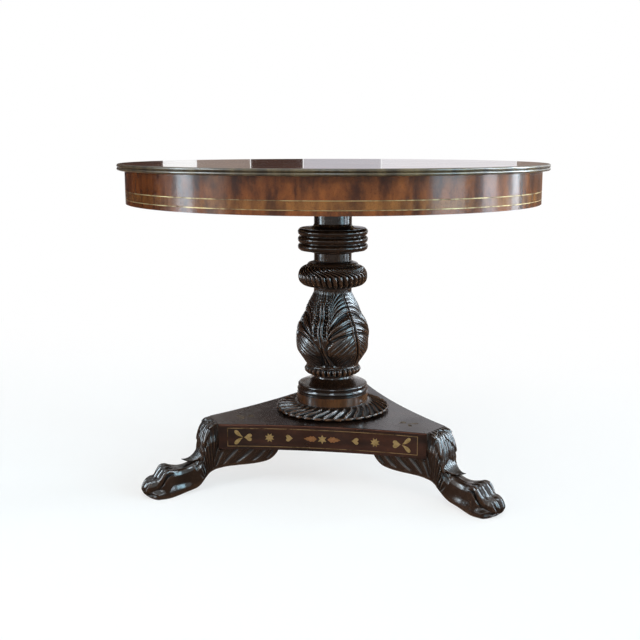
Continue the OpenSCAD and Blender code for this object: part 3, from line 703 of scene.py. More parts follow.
class Polish:
    """All finishes of the table, each built once.

    The drum is measured up from the boss, the plinth's edge line down from its top, and the frieze's lighter
    band from the frieze's lower edge.
    """

    drum: float = 19.6 * MM
    edge_line: float = 1.8 * MM
    frieze_band: Span = (10.4 * MM, 28.2 * MM)

    def __init__(self) -> None:
        """Build the shared groups and the finishes."""
        grain_group()
        age_group()
        dark_wood = {
            "dark": paint(9, 6, 5),
            "light": paint(30, 19, 13),
            "worn": paint(98, 64, 41),
            # Near black: paints the shade in the carving's hollows as well as their dirt
            "dirt": paint(2, 2, 2),
            "faded": paint(68, 43, 28),
        }
        rosewood = {
            "dark": paint(18, 11, 9),
            "light": paint(68, 37, 25),
            "worn": paint(120, 74, 50),
            "dirt": paint(12, 8, 7),
        }
        mahogany = {
            "dark": paint(56, 27, 16),
            "light": paint(130, 71, 33),
            "worn": paint(150, 104, 70),
            "dirt": paint(34, 19, 14),
        }
        plain = {"polish": 0.0, "shine": 0.42}
        glossy = plain | {"shine": 0.52}
        sheen = {"gloss": 0.15, "haze": 0.1, "polish": 0.0, "shine": 0.85}
        rubbed = sheen | {"shine": 0.36}
        self.carved = Wood("carved_wood", **dark_wood, **sheen, wear=0.34, soil_and_shade=1.0, fading=0.5).material()
        self.boss = Wood("boss_wood", **dark_wood, **rubbed, wear=0.6, soil_and_shade=1.0, fading=0.3).material()
        self.legs = Wood("leg_wood", **dark_wood, **sheen, wear=0.16, soil_and_shade=1.0, fading=0.35).material()
        base_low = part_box("petal_boss")[1].z
        self.turned = Wood(
            "turned_wood",
            **dark_wood,
            **glossy,
            wear=0.35,
            soil_and_shade=0.4,
            gloss=0.1,
            haze=0.07,
            fading=0.35,
            band=(base_low, base_low + self.drum),
            band_dark=paint(46, 27, 17),
            band_light=paint(98, 61, 35),
        ).material()
        plinth_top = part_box("plinth_front_veneer")[1].z
        self.block = Wood("block_wood", **dark_wood, **plain, lay=Lay.LENGTHWISE, gloss=0.45).material()
        old_top = rosewood | {"light": paint(42, 26, 19)}
        self.plinth_top = Wood("plinth_top", **old_top, **plain, lay=Lay.LENGTHWISE, gloss=0.2).material()
        self.plinth_sides = [
            Wood(
                f"plinth_side_{i}",
                **rosewood,
                **plain,
                lay=Lay.LENGTHWISE,
                turn=120 * i,
                gloss=0.26,
                band=(plinth_top - self.edge_line, plinth_top + MM),
                band_dark=paint(66, 34, 26),
                band_light=paint(132, 84, 66),
            ).material()
            for i in range(3)
        ]
        frieze_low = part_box("frieze_veneer")[0].z
        self.frieze = Wood(
            "frieze_mahogany",
            **mahogany,
            lay=Lay.AROUND,
            bands=34.0,
            stretch=0.35,
            warp=0.04,
            gloss=0.14,
            haze=0.1,
            polish=0.1,
            polish_roughness=0.08,
            shine=0.24,
            band=(frieze_low + self.frieze_band[0], frieze_low + self.frieze_band[1]),
            band_dark=paint(70, 40, 23),
            band_light=paint(138, 87, 44),
        ).material()
        self.top = Wood(
            "top_mahogany",
            **mahogany,
            lay=Lay.SECTORS,
            bands=14.0,
            stretch=0.3,
            warp=0.12,
            gloss=0.12,
            haze=0.08,
            polish=0.8,
            polish_roughness=0.05,
            wear=0.06,
        ).material()
        self.bearer = Wood(
            "bearer_mahogany", **mahogany, lay=Lay.LENGTHWISE, turn=90, gloss=0.5, polish=0.0
        ).material()
        self.deal = Wood(
            "deal",
            dark=paint(132, 96, 62),
            light=paint(176, 136, 92),
            worn=paint(190, 152, 108),
            dirt=paint(88, 64, 44),
            lay=Lay.LENGTHWISE,
            gloss=0.65,
            polish=0.0,
            shine=0.3,
        ).material()
        self.moulding = Wood(
            "edge_moulding",
            dark=paint(48, 38, 26),
            light=paint(98, 82, 54),
            worn=paint(158, 140, 98),
            dirt=paint(30, 22, 16),
            lay=Lay.AROUND,
            bands=40.0,
            gloss=0.3,
            polish=0.6,
            wear=0.6,
        ).material()
        metals = {
            "inlay_brass": (paint(206, 186, 132), paint(158, 132, 86), 0.42, 60.0),
            "corner_brass": (paint(112, 98, 74), paint(58, 44, 34), 0.5, 90.0),
            "border_brass": (paint(178, 154, 112), paint(70, 50, 36), 0.45, 30.0),
            "inlay_copper": (paint(184, 138, 96), paint(130, 96, 64), 0.44, 60.0),
            "line_brass": (paint(186, 166, 120), paint(84, 60, 42), 0.42, 18.0),
            "hardware_brass": (paint(198, 166, 96), paint(120, 92, 48), 0.34, 60.0),
            "hardware_steel": (paint(112, 110, 108), paint(58, 50, 46), 0.45, 60.0),
        }
        self.metals = {name: Metal(name, *values).material() for name, values in metals.items()}

    def dress(self) -> None:
        """Give the frame's own pieces their finishes."""
        metals = self.metals
        core = ["top_board", "frieze_upper_course", "frieze_lower_course", "glue_block_ring"]
        brassware = [f"{side}_{part}" for part in ("bolt_plate", "bolt", "keeper") for side in SIDES]
        pins = [f"{side}_pivot_pin" for side in SIDES]
        finishes = {
            self.deal: [*core, "plinth_core", "leg_dowels"],
            self.top: ["top_veneer"],
            self.frieze: ["frieze_veneer"],
            self.moulding: ["edge_moulding"],
            self.bearer: [*(f"{side}_bearer" for side in SIDES), "block_wedge", "plinth_wedge"],
            self.block: ["block"],
            self.turned: ["ring_collar", "turned_base"],
            self.plinth_top: ["plinth_top_veneer"],
            self.plinth_sides[0]: ["plinth_front_veneer"],
            self.plinth_sides[1]: ["plinth_right_veneer"],
            self.plinth_sides[2]: ["plinth_left_veneer"],
            metals["inlay_brass"]: ["brass_stars", "brass_hearts", "brass_drops"],
            metals["corner_brass"]: ["brass_corner_hearts"],
            metals["border_brass"]: ["brass_borders"],
            metals["inlay_copper"]: ["brass_leaves"],
            metals["line_brass"]: ["frieze_brass_lines"],
            metals["hardware_brass"]: [*brassware, "bolt_plate_screws", "keeper_screws"],
            metals["hardware_steel"]: [*pins, "bearer_screws", "leg_screws"],
        }
        for finish, names in finishes.items():
            for name in names:
                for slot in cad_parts[name].material_slots:
                    slot.material = finish
                LOG.info("%s: %s", name, finish.name)


@dataclass
class Turning:
    """A turned and carved member of the column, whose blank follows the frame's own solid."""

    node: str
    columns: int = 480
    rows: int = 150
    inner: float = 0.042
    smoothing: int = 3

    def outline(self) -> Array:
        """Read the blank's outline off the solid.

        Returns:
            Evenly spaced rows of radius and height.
        """
        points = Bench.places(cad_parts[self.node])
        radius = np.hypot(points[:, 0], points[:, 1])
        kept = radius > self.inner
        levels = np.round(points[kept, 2], 4)
        heights = np.unique(levels)
        widest = np.array([radius[kept][levels == level].max() for level in heights])
        run = np.concatenate([[0], np.cumsum(np.hypot(np.diff(widest), np.diff(heights)))])
        spaced = np.linspace(0, run[-1], self.rows)
        smooth = np.column_stack([np.interp(spaced, run, widest), np.interp(spaced, run, heights)])
        for _ in range(self.smoothing):
            smooth[1:-1] = (smooth[:-2] + 2 * smooth[1:-1] + smooth[2:]) / 4
        return smooth

    def depth(self, azimuth: Array, share: Array, radius: Array) -> Array:
        """Say how deep the carving goes.

        Args:
            azimuth: The angle round the axis in degrees.
            share: The share of the member's height.
            radius: The blank's radius.

        Returns:
            The depth in metres.
        """
        raise NotImplementedError

    def finish(self, polish: Polish) -> bpy.types.Material:
        """Choose the member's finish."""
        return polish.carved

    def build(self, polish: Polish) -> None:
        """Turn the blank, carve it and hang it on the frame.

        Args:
            polish: The table's finishes.
        """
        outline = self.outline()
        piece = Bench.spin(f"{self.node}_carving", outline, self.columns)
        points = Bench.places(piece)
        radius = np.hypot(points[:, 0], points[:, 1])
        azimuth = np.arctan2(points[:, 1], points[:, 0])
        low, high = outline[0, 1], outline[-1, 1]
        run = np.gradient(outline, axis=0)
        out = run[:, 1] / np.hypot(run[:, 0], run[:, 1])
        up = -run[:, 0] / np.hypot(run[:, 0], run[:, 1])
        out, up = (np.interp(points[:, 2], outline[:, 1], values) for values in (out, up))
        depth = self.depth(np.degrees(azimuth), (points[:, 2] - low) / (high - low), radius)
        points[:, 0] -= depth * out * np.cos(azimuth)
        points[:, 1] -= depth * out * np.sin(azimuth)
        points[:, 2] = np.clip(points[:, 2] - depth * up, low, high)
        piece.data.vertices.foreach_set("co", points.astype(np.float32).ravel())
        piece.data.update()
        Bench.relieve(piece)
        Bench.add(piece, "root", "carved_wood", self.finish(polish), self.node)


@dataclass
class GadroonCollar(Turning):
    """The collar of swirled lobes over the baluster."""

    rows: int = 100
    deepest: float = 0.0075
    lobes: int = 36
    low_twist: float = 8.0
    twist: float = 30.0
    shoulder: Span = (0.5, 0.86)
    foot: Span = (0.04, 0.12)
    rim: Span = (0.79, 0.82)
    neck: Span = (0.055, 0.075)
    neck_share: float = 0.35

    def depth(self, azimuth: Array, share: Array, radius: Array) -> Array:
        """Cut the grooves between the lobes, which swirl as they climb over the shoulder.

        Args:
            azimuth: The angle round the axis in degrees.
            share: The share of the member's height.
            radius: The blank's radius.

        Returns:
            The depth in metres.
        """
        swirl = azimuth + self.twist * smoothstep(*self.shoulder, share) + self.low_twist * share
        groove = furrows(swirl * self.lobes / 360, 0.5)
        zone = smoothstep(*self.foot, share) * (1 - smoothstep(*self.rim, share))
        slim = self.neck_share + (1 - self.neck_share) * smoothstep(*self.neck, radius)
        return self.deepest * zone * groove * slim


@dataclass
class Baluster(Turning):
    """The baluster under three hanging acanthus leaves with pearled straps between them.

    Angles are in degrees from a leaf's rib. Levels are shares of the height, and depths are shares of the
    deepest cut. Each lean is a level and how far a leaf leans there. A span says where something begins and
    where it is fully there, or the middle and half width of a bump.
    """

    rows: int = 200
    deepest: float = 0.0075
    height: float = 179 * MM
    neck: Span = (0.04, 0.075)
    neck_share: float = 0.4
    leaf_azimuth: float = -43.0
    leaf_half: float = 60.0
    lobe_half: float = 47.0
    lobe_narrowing: float = 10.0
    lean: tuple[Span, ...] = ((0, 15), (0.2, 6), (0.45, 0), (0.7, -1), (1, -7))
    lobe_starts: tuple[float, ...] = (0.36, 0.475, 0.59, 0.714, 0.8, 0.85, 0.9, 0.955, 1.02, 1.1, 1.2, 1.35)
    fan_level: float = 0.37
    fan_least: float = 0.02
    fan_reach: float = 48.0
    arch: float = 1.05
    arch_gain: float = 4.2
    arch_levels: Span = (0.5, 0.82)
    groove_width: float = 0.08
    groove_swelling: float = 0.13
    widest_groove: Span = (2.5, 0.9)
    lobe_slope: float = 0.45
    lobe_flutes: float = 0.14
    fine_lobes: Span = (3.6, 4.6)
    fine_loss: float = 0.6
    rib: Span = (0.0, 1.5)
    rib_end: Span = (0.9, 1.0)
    rib_loss: float = 0.6
    rib_border: Span = (3.4, 1.6)
    rib_border_height: float = 0.8
    oval_middle: float = 0.2
    oval_half: float = 52.0
    oval_above: float = 0.25
    oval_below: float = 0.34
    oval_edge: Span = (0.985, 1.015)
    oval_groove: tuple[Span, Span] = ((0.99, 1.02), (1.05, 1.17))
    oval_groove_depth: float = 1.05
    strap_groove_depth: float = 0.8
    oval_depth: float = 0.02
    oval_dome: float = 0.45
    leaflets: float = 15.0
    leaflet_slant: float = 0.0062
    vein_width: float = 0.12
    vein_depth: float = 0.22
    vein_ends: tuple[Span, Span] = ((0.0, 6.0), (0.82, 0.97))
    leaflet_flutes: float = 0.06
    strap_depth: float = 0.22
    strap_start: Span = (0.05, 0.3)
    strap_edge: Span = (-0.8, 0.8)
    strap_border: Span = (1.8, 1.2)
    strap_border_height: float = 0.2
    upper_strap: Span = (0.34, 0.44)
    pearls: tuple[Span, Span] = ((0.36, 0.48), (0.86, 0.88))
    pearl_out: float = 11.5 * MM
    pearl_radius: float = 3.1 * MM
    pearl_pitch: float = 8.0 * MM
    pearl_height: float = 1.08
    channel_half: float = 3.9 * MM
    channel_depth: float = 0.9
    seam: Span = (0.0, 1.3 * MM)
    seam_depth: float = 0.45
    seam_border: Span = (3.6 * MM, 1.6 * MM)
    seam_border_height: float = 0.12
    ridge: Span = (0.0, 1.1)
    ridge_height: float = 0.34
    ridge_top: float = 0.4
    ridge_swing: float = 16.4
    foot_line_pitch: float = 3.2
    foot_line_depth: float = 0.12
    ends: tuple[Span, Span] = ((0.0, 0.02), (0.985, 1.0))

    def lobe_number(self, off: Array, share: Array) -> Array:
        """Count the arched lobe lines below each point.

        Args:
            off: The angle from the leaf's rib in degrees.
            share: The share of the height.

        Returns:
            The lobe's number, whose fraction is the share across it.
        """
        across = np.clip(off / self.fan_reach, 0, 1)
        low_arch, high_arch = self.arch_levels
        lines = []
        for start in self.lobe_starts:
            power = self.arch + self.arch_gain * max(min(start, high_arch) - low_arch, 0)
            fall = 1 - (1 - across**power) ** (1 / power)
            lines.append(start - max(start - self.fan_level, self.fan_least) * fall)
        number = np.zeros_like(share)
        for low, high in zip(lines, lines[1:]):
            number += np.clip((share - low) / np.maximum(high - low, 1e-4), 0, 1)
        return number

    def upper_lobes(self, off: Array, share: Array) -> Array:
        """Carve the long lobes that fan out from the strap up to the rib.

        Args:
            off: The angle from the leaf's rib in degrees.
            share: The share of the height.

        Returns:
            The depth as a share of the deepest cut.
        """
        number = self.lobe_number(off, share)
        inside = number % 1.0
        gap = np.minimum(inside, 1 - inside)
        wide = self.groove_width + self.groove_swelling * bump(*self.widest_groove, number)
        groove = np.exp(-((gap / wide) ** 2))
        slope = self.lobe_slope * (1 - inside) ** 1.5
        flutes = self.lobe_flutes * furrows(3 * inside, 0.7)
        fine = smoothstep(*self.fine_lobes, number)
        return np.clip(groove + slope + flutes, 0, 1.1) * (1 - self.fine_loss * fine)

    def lower_leaf(self, off: Array, share: Array, oval: Array) -> Array:
        """Carve the domed oval leaf that lies over the lobes' feet, with its leaflets' veins.

        Args:
            off: The angle from the leaf's rib in degrees.
            share: The share of the height.
            oval: The distance from the oval's middle, where 1 is its edge.

        Returns:
            The depth as a share of the deepest cut.
        """
        inside = (share + self.leaflet_slant * off) * self.leaflets % 1.0
        veins = np.exp(-((np.minimum(inside, 1 - inside) / self.vein_width) ** 2))
        from_rib, to_edge = self.vein_ends
        side = smoothstep(*from_rib, off) * (1 - smoothstep(*to_edge, oval))
        flutes = furrows(2 * inside, 0.8)
        dome = self.oval_depth + self.oval_dome * oval**4
        return dome + self.vein_depth * veins * side + self.leaflet_flutes * flutes

    def strap(self, off: Array, share: Array, out: Array) -> Array:
        """Carve the strap between two leaves: its pearls, and the line that swings to the foot below them.

        Args:
            off: The angle from the leaf's rib in degrees.
            share: The share of the height.
            out: The distance from the strap's middle.

        Returns:
            The depth as a share of the deepest cut.
        """
        row = (share * self.height / self.pearl_pitch % 1.0 - 0.5) * self.pearl_pitch
        side = out - self.pearl_out
        pearl = np.sqrt(np.clip(1 - (row**2 + side**2) / self.pearl_radius**2, 0, 1))
        lower_end, upper_end = self.pearls
        pearled = smoothstep(*lower_end, share) * (1 - smoothstep(*upper_end, share))
        channel = np.exp(-((side / self.channel_half) ** 4))
        plain = self.strap_depth + pearled * channel * (self.channel_depth - self.pearl_height * pearl)
        plain = plain + self.seam_depth * bump(*self.seam, out)
        plain = plain - self.seam_border_height * bump(*self.seam_border, out)
        upper = smoothstep(*self.upper_strap, share)
        plain = plain - self.strap_border_height * upper * bump(*self.strap_border, off - self.lobe_half)
        ridge = self.leaf_half + 1 - self.ridge_swing * np.clip(1 - share / self.ridge_top, 0, 1) ** 1.6
        lines = self.foot_line_depth * furrows((ridge - off) / self.foot_line_pitch, 0.8)
        return plain + (1 - upper) * (lines - self.ridge_height * bump(*self.ridge, off - ridge))

    def depth(self, azimuth: Array, share: Array, radius: Array) -> Array:
        """Cut lobes, oval leaves, ribs, pearls and straps.

        Args:
            azimuth: The angle round the axis in degrees.
            share: The share of the member's height.
            radius: The blank's radius.

        Returns:
            The depth in metres.
        """
        levels, leans = np.array(self.lean).T
        turned = azimuth - self.leaf_azimuth - np.interp(share, levels, leans)
        off = np.abs((turned + self.leaf_half) % (2 * self.leaf_half) - self.leaf_half)
        level = share - self.oval_middle
        oval = np.hypot(off / self.oval_half, level / np.where(level > 0, self.oval_above, self.oval_below))
        in_oval = 1 - smoothstep(*self.oval_edge, oval)
        inner, outer = self.oval_groove
        beyond = smoothstep(*inner, oval) * (1 - smoothstep(*outer, oval))
        lobes = np.maximum(self.upper_lobes(off, share), self.oval_groove_depth * beyond)
        cut = lobes * (1 - in_oval) + self.lower_leaf(off, share, oval) * in_oval
        rib = bump(*self.rib, off) * (1 - self.rib_loss * smoothstep(*self.rib_end, share))
        cut = np.maximum(cut * (1 - self.rib_border_height * bump(*self.rib_border, off)), rib)
        out = (self.leaf_half - off) * np.radians(1) * radius
        start = self.lobe_half - self.lobe_narrowing * (1 - smoothstep(*self.strap_start, share))
        strap = smoothstep(*self.strap_edge, off - start) * (1 - in_oval)
        groove = self.strap_groove_depth * beyond * (share < self.ridge_top)
        plain = np.maximum(self.strap(off, share, out), groove)
        cut = cut * (1 - strap) + np.maximum(plain, 0) * strap
        foot, top = self.ends
        ends = smoothstep(*foot, share) * (1 - smoothstep(*top, share))
        slim = self.neck_share + (1 - self.neck_share) * smoothstep(*self.neck, radius)
        return self.deepest * cut * ends * slim


@dataclass
class BeadRing(Turning):
    """The scalloped ring under the baluster."""

    rows: int = 44
    deepest: float = 0.0075
    scallops: int = 30
    scallop_top: Span = (0.6, 0.95)
    line_level: Span = (0.8, 0.06)
    line_depth: float = 0.0016

    def finish(self, polish: Polish) -> bpy.types.Material:
        """Choose the member's finish."""
        return polish.boss

    def depth(self, azimuth: Array, share: Array, radius: Array) -> Array:
        """Cut the hollows between the scallops, and a line over them.

        Args:
            azimuth: The angle round the axis in degrees.
            share: The share of the member's height.
            radius: The blank's radius; not used.

        Returns:
            The depth in metres.
        """
        hollow = furrows(azimuth * self.scallops / 360, 0.8) * (1 - smoothstep(*self.scallop_top, share))
        return self.deepest * hollow + self.line_depth * bump(*self.line_level, share)


@dataclass
class PetalBoss(Turning):
    """The whorl of hollow petals on the plinth."""

    rows: int = 80
    inner: float = 0.083
    petals: int = 34
    twist: float = 17.0
    deepest: float = 0.008
    sweep: Span = (0.084, 0.134)
    scoop: Span = (0.084, 0.115)
    rim: Span = (0.1295, 0.1325)
    foot: Span = (0.2, 0.32)
    shoulder: Span = (0.95, 1.0)
    inner_share: float = 0.45
    rim_depth: float = 0.35

    def finish(self, polish: Polish) -> bpy.types.Material:
        """Choose the member's finish."""
        return polish.boss

    def depth(self, azimuth: Array, share: Array, radius: Array) -> Array:
        """Scoop the petals, which lean as they run out to the scalloped rim.

        Args:
            azimuth: The angle round the axis in degrees.
            share: The share of the member's height.
            radius: The blank's radius.

        Returns:
            The depth in metres.
        """
        phase = ((azimuth + self.twist * smoothstep(*self.sweep, radius)) * self.petals / 360) % 1.0
        hollow = np.sin(math.pi * phase**0.8) ** 0.55
        scoop = self.inner_share + (1 - self.inner_share) * smoothstep(*self.scoop, radius)
        within = 1 - smoothstep(*self.rim, radius)
        edge = self.rim_depth * furrows(phase**0.8, 0.8) * (1 - within)
        zone = 1 - smoothstep(*self.shoulder, share)
        return self.deepest * (hollow * scoop * within * smoothstep(*self.foot, share) + edge) * zone


@dataclass(frozen=True)
class Leaflets:
    """The slanting leaflets on the sides of the bracket, and those that run down the sides of the knee.

    A slant is how many leaflets pass for each rung, and for the whole height. A span says between which
    rungs, or shares across or up, something sets in. Depths are in millimetres.
    """

    bracket_slant: Span = (0.7, 2.3)
    bracket_bend: float = 0.6
    knee_slant: Span = (-0.95, 3.4)
    knee_sway: Span = (0.2, 5.0)
    knee: Span = (8.6, 9.6)
    first_knee: float = 9.0
    shingle: float = 3.4
    shingle_edge: Span = (0.0, 0.08)
    vein: float = 0.8
    flank: Span = (0.95, 0.995)
    foot: Span = (0.02, 0.1)
    top: Span = (0.86, 0.97)
    start: Span = (0.3, 1.5)
    end: Span = (15.8, 17.8)

    def carve(self, part: Sections) -> Array:
        """Carve the leaflets.

        Args:
            part: The leg's sections.

        Returns:
            The depth in metres.
        """
        number, up = part["number"], part["up"]
        passed, climbed = self.bracket_slant
        bracket = passed * number + climbed * up - self.bracket_bend * up**2
        passed, climbed = self.knee_slant
        sway, waves = self.knee_sway
        knee = climbed * up + passed * (number - self.first_knee) + sway * np.sin(waves * up)
        share = smoothstep(*self.knee, number)
        depth = 0.0
        for line, part_share in ((bracket, 1 - share), (knee, share)):
            inside = line % 1.0
            shingle = (1 - inside) ** 1.6 * smoothstep(*self.shingle_edge, inside)
            depth = depth + part_share * (self.shingle * shingle + self.vein * furrows(2 * inside, 0.8))
        side = smoothstep(*self.flank, np.abs(part["across"])) * smoothstep(*self.foot, up)
        side = side * (1 - smoothstep(*self.top, up))
        zone = smoothstep(*self.start, number) * (1 - smoothstep(*self.end, number))
        return MM * side * zone * depth


@dataclass(frozen=True)
class KneeLeaf:
    """The acanthus leaf on the knee.

    A tier is where it starts and ends along the leaf, where its veins fan from, and their pitch. A row of the
    hook is its distance from the axis, height, half width and thickness in millimetres.
    """

    tiers: tuple[tuple[float, ...], ...] = (
        (-0.5, 0.06, -1.2, 0.15),
        (0.06, 0.36, -0.7, 0.17),
        (0.36, 0.66, -0.25, 0.19),
        (0.66, 1.3, 0.42, 0.24),
    )
    hook: tuple[tuple[float, ...], ...] = (
        (321, 136, 34, 8),
        (323, 118, 34, 9),
        (327, 102, 31, 11),
        (334, 90, 25, 12),
        (345, 82, 17, 9),
        (357, 79, 9, 5),
        (369, 80, 1, 1.2),
    )
    deepest: float = 4.6 * MM
    start: float = 10.4
    length: float = 7.0
    front: Span = (0.62, 0.8)
    lowest: float = 0.6
    droop: float = 0.3
    spread: float = 1.5
    shade: float = 0.5
    veins: float = 0.4
    veins_start: Span = (0.0, 0.12)
    ends: tuple[Span, Span] = ((-0.08, 0.0), (1.0, 1.06))
    rib: Span = (0.0, 0.045)
    rib_depth: float = 0.8
    half: float = 0.96
    notch: float = 0.13
    notches: Span = (0.0, 0.06)
    edge: float = 0.02
    hook_steps: int = 8
    hook_columns: int = 61
    hook_rays: float = 4.4
    hook_slant: float = 1.2
    hook_veins: float = 1.6 * MM
    hook_veins_start: Span = (0.0, 0.2)
    hook_curl: float = 6 * MM
    hook_rim: float = 0.2

    def carve(self, part: Sections) -> Array:
        """Carve the leaf's overlapping tiers, with fine veins that fan downwards.

        Args:
            part: The leg's sections.

        Returns:
            The depth in metres.
        """
        across = np.abs(part["across"])
        front = smoothstep(*self.front, part["up"])
        along = (part["number"] - self.start) / self.length
        cut = np.zeros_like(along)
        notches = np.zeros_like(along)
        for start, end, fan, pitch in self.tiers:
            droop = self.droop * across**1.3
            first, last = start + droop, end + droop
            inside = (along >= first) & (along < last)
            share = np.clip((along - first) / (last - first), 0, 1)
            veins = furrows(np.arctan2(across, self.spread * (along - fan)) / pitch, 0.8)
            veins = self.veins * veins * smoothstep(*self.veins_start, share)
            shade = self.shade * (1 - share) ** 2.4 + veins
            cut = np.where(inside, shade, cut)
            notches += bump(*self.notches, along - first)
        cut = np.maximum(cut, self.rib_depth * bump(*self.rib, across))
        edge = self.half - self.notch * np.clip(notches, 0, 1)
        ground = smoothstep(edge - self.edge, edge + self.edge, across) * (part["up"] > self.lowest)
        top, tip = self.ends
        zone = smoothstep(*top, along) * (1 - smoothstep(*tip, along))
        return self.deepest * front * zone * np.clip(np.maximum(cut * (1 - ground), ground), 0, 1.1)

    def flick(self) -> bpy.types.Object:
        """Model the leaf's free tip, a short solid hook that stands out over the instep.

        Returns:
            The hook.
        """
        spine = smooth_curve(np.array(self.hook) * MM, self.hook_steps)
        side = np.linspace(-1, 1, self.hook_columns)[None, :]
        share = np.linspace(0, 1, len(spine))[:, None]
        half, thick = spine[:, 2:3], spine[:, 3:4]
        rays = furrows(np.abs(side) * self.hook_rays - self.hook_slant * (1 - share), 0.7)
        veins = self.hook_veins * rays * (1 - share) ** 0.4 * smoothstep(*self.hook_veins_start, share)
        curl = self.hook_curl * side**2 * (1 - share) ** 0.7
        run = np.gradient(spine[:, :2], axis=0)
        run /= np.linalg.norm(run, axis=1, keepdims=True)
        out, up = -run[:, 1:2], run[:, 0:1]
        rim = np.sqrt(np.clip(1 - side**2, 0, 1)) * (1 - self.hook_rim) + self.hook_rim
        faces = []
        for depth, order in ((curl + veins, 1), (curl + thick * rim, -1)):
            along = spine[:, 0:1] - depth * out
            height = spine[:, 1:2] - depth * up
            faces.append(np.stack([along, half * side, height], axis=-1)[:, ::order])
        return Bench.wrap("leaf_tip", np.concatenate(faces, axis=1), tube=True)


@dataclass(frozen=True)
class Paw:
    """The lion's paw: four toes with furrows, knuckles, pads and a heel.

    A span says between which rungs, or shares across or up, something sets in, or the middle and half width
    of a bump. Depths are in millimetres.
    """

    toes: float = 4.0
    furrow: float = 10.0
    furrow_start: Span = (20.4, 22.4)
    furrow_end: Span = (29.0, 30.0)
    furrow_fading: float = 0.4
    furrow_foot: Span = (0.15, 0.4)
    furrow_limit: float = 0.985
    outer_toe: Span = (0.3, 0.4)
    outer_toe_start: Span = (24.2, 25.6)
    outer_toe_fading: float = 0.75
    tendon: Span = (19.5, 1.4)
    saddle: Span = (25.3, 0.8)
    saddle_depth: float = 3.4
    flank: Span = (0.8, 0.98)
    flank_foot: Span = (0.0, 0.08)
    flank_start: Span = (17.5, 20.0)
    ridge: float = 22.2
    ridge_slant: float = 2.2
    ridge_half: float = 1.1
    pad: Span = (24.2, 2.7)
    pad_level: Span = (0.16, 0.28)
    hollow: float = 4.0
    hollow_start: Span = (19.5, 23.0)
    heel: float = 1.8
    heel_level: Span = (0.46, 0.14)
    heel_end: Span = (21.5, 23.0)
    drawn: float = 0.6
    drawn_start: Span = (23.8, 26.0)
    drawn_level: Span = (0.32, 0.52)
    drawn_low_start: Span = (26.0, 27.8)
    drop: float = 9.0
    drop_across: Span = (0.45, 0.95)
    drop_start: Span = (23.0, 25.5)
    drop_level: Span = (0.5, 0.8)
    drop_end: Span = (27.5, 29.0)
    set_back: float = 7.0
    set_back_start: Span = (21.0, 27.0)
    tip: float = 8.0
    tip_start: Span = (25.0, 29.0)
    tip_limit: float = 0.99

    def carve(self, part: Sections) -> Array:
        """Carve the furrows between the toes, the knuckles, and the ridge, pad and heel on the sides.

        Args:
            part: The leg's sections.

        Returns:
            The depth in metres.
        """
        across, number, up = part["across"], part["number"], part["up"]
        off = np.abs(across)
        turns = (across + 1) * self.toes / 2
        outer = smoothstep(*self.outer_toe_start, number) * smoothstep(*self.outer_toe, off)
        upper = smoothstep(*self.furrow_foot, up)
        reach = 1 - self.furrow_fading * smoothstep(*self.furrow_end, number)
        reach = reach * smoothstep(*self.furrow_start, number) * (1 - self.outer_toe_fading * outer)
        cut = self.furrow * reach * furrows(turns, 0.75) * upper * (off < self.furrow_limit)
        tendon = bump(*self.tendon, number) * (0.5 + 0.5 * np.cos(2 * math.pi * turns)) * upper
        saddle = self.saddle_depth * bump(*self.saddle, number) * upper * (1 - furrows(turns, 1))
        side = smoothstep(*self.flank, off) * smoothstep(*self.flank_foot, up)
        side = side * smoothstep(*self.flank_start, number)
        ridge = bump(self.ridge + self.ridge_slant * (1 - up), self.ridge_half, number)
        (middle, half), (level, rise) = self.pad, self.pad_level
        pad = np.exp(-((((number - middle) / half) ** 2 + ((up - level) / rise) ** 2) ** 1.5))
        raised = np.clip(np.maximum(ridge, pad), 0, 1)
        hollow = self.hollow * (1 - raised) * smoothstep(*self.hollow_start, number)
        heel = self.heel * bump(*self.heel_level, up) * (1 - smoothstep(*self.heel_end, number))
        return MM * (cut + tendon + saddle + side * (hollow + heel))

    def shape(self, part: Sections, points: Array) -> None:
        """Draw in the flanks before the outer toes' pads, and give each toe a round tip.

        Args:
            part: The leg's sections.
            points: The leg's points, which are moved.
        """
        across, number, up = part["across"], part["number"], part["up"]
        off = np.abs(across)
        drawn = np.maximum(
            smoothstep(*self.drawn_start, number) * smoothstep(*self.drawn_level, up),
            smoothstep(*self.drawn_low_start, number),
        )
        inner = 0.5 * part["half"]
        width = np.abs(points[..., 1])
        narrowed = np.where(width > inner, inner + (width - inner) * (1 - self.drawn * drawn), width)
        points[..., 1] = np.sign(points[..., 1]) * narrowed
        drop = smoothstep(*self.drop_across, off) * smoothstep(*self.drop_start, number)
        drop = drop * smoothstep(*self.drop_level, up) * (1 - smoothstep(*self.drop_end, number))
        points[..., 2] -= self.drop * MM * drop
        between = furrows((across + 1) * self.toes / 2, 0.7)
        points[..., 0] -= self.set_back * MM * smoothstep(*self.set_back_start, number) * off**2.4
        tips = smoothstep(*self.tip_start, number) * between * (off < self.tip_limit)
        points[..., 0] -= self.tip * MM * tips


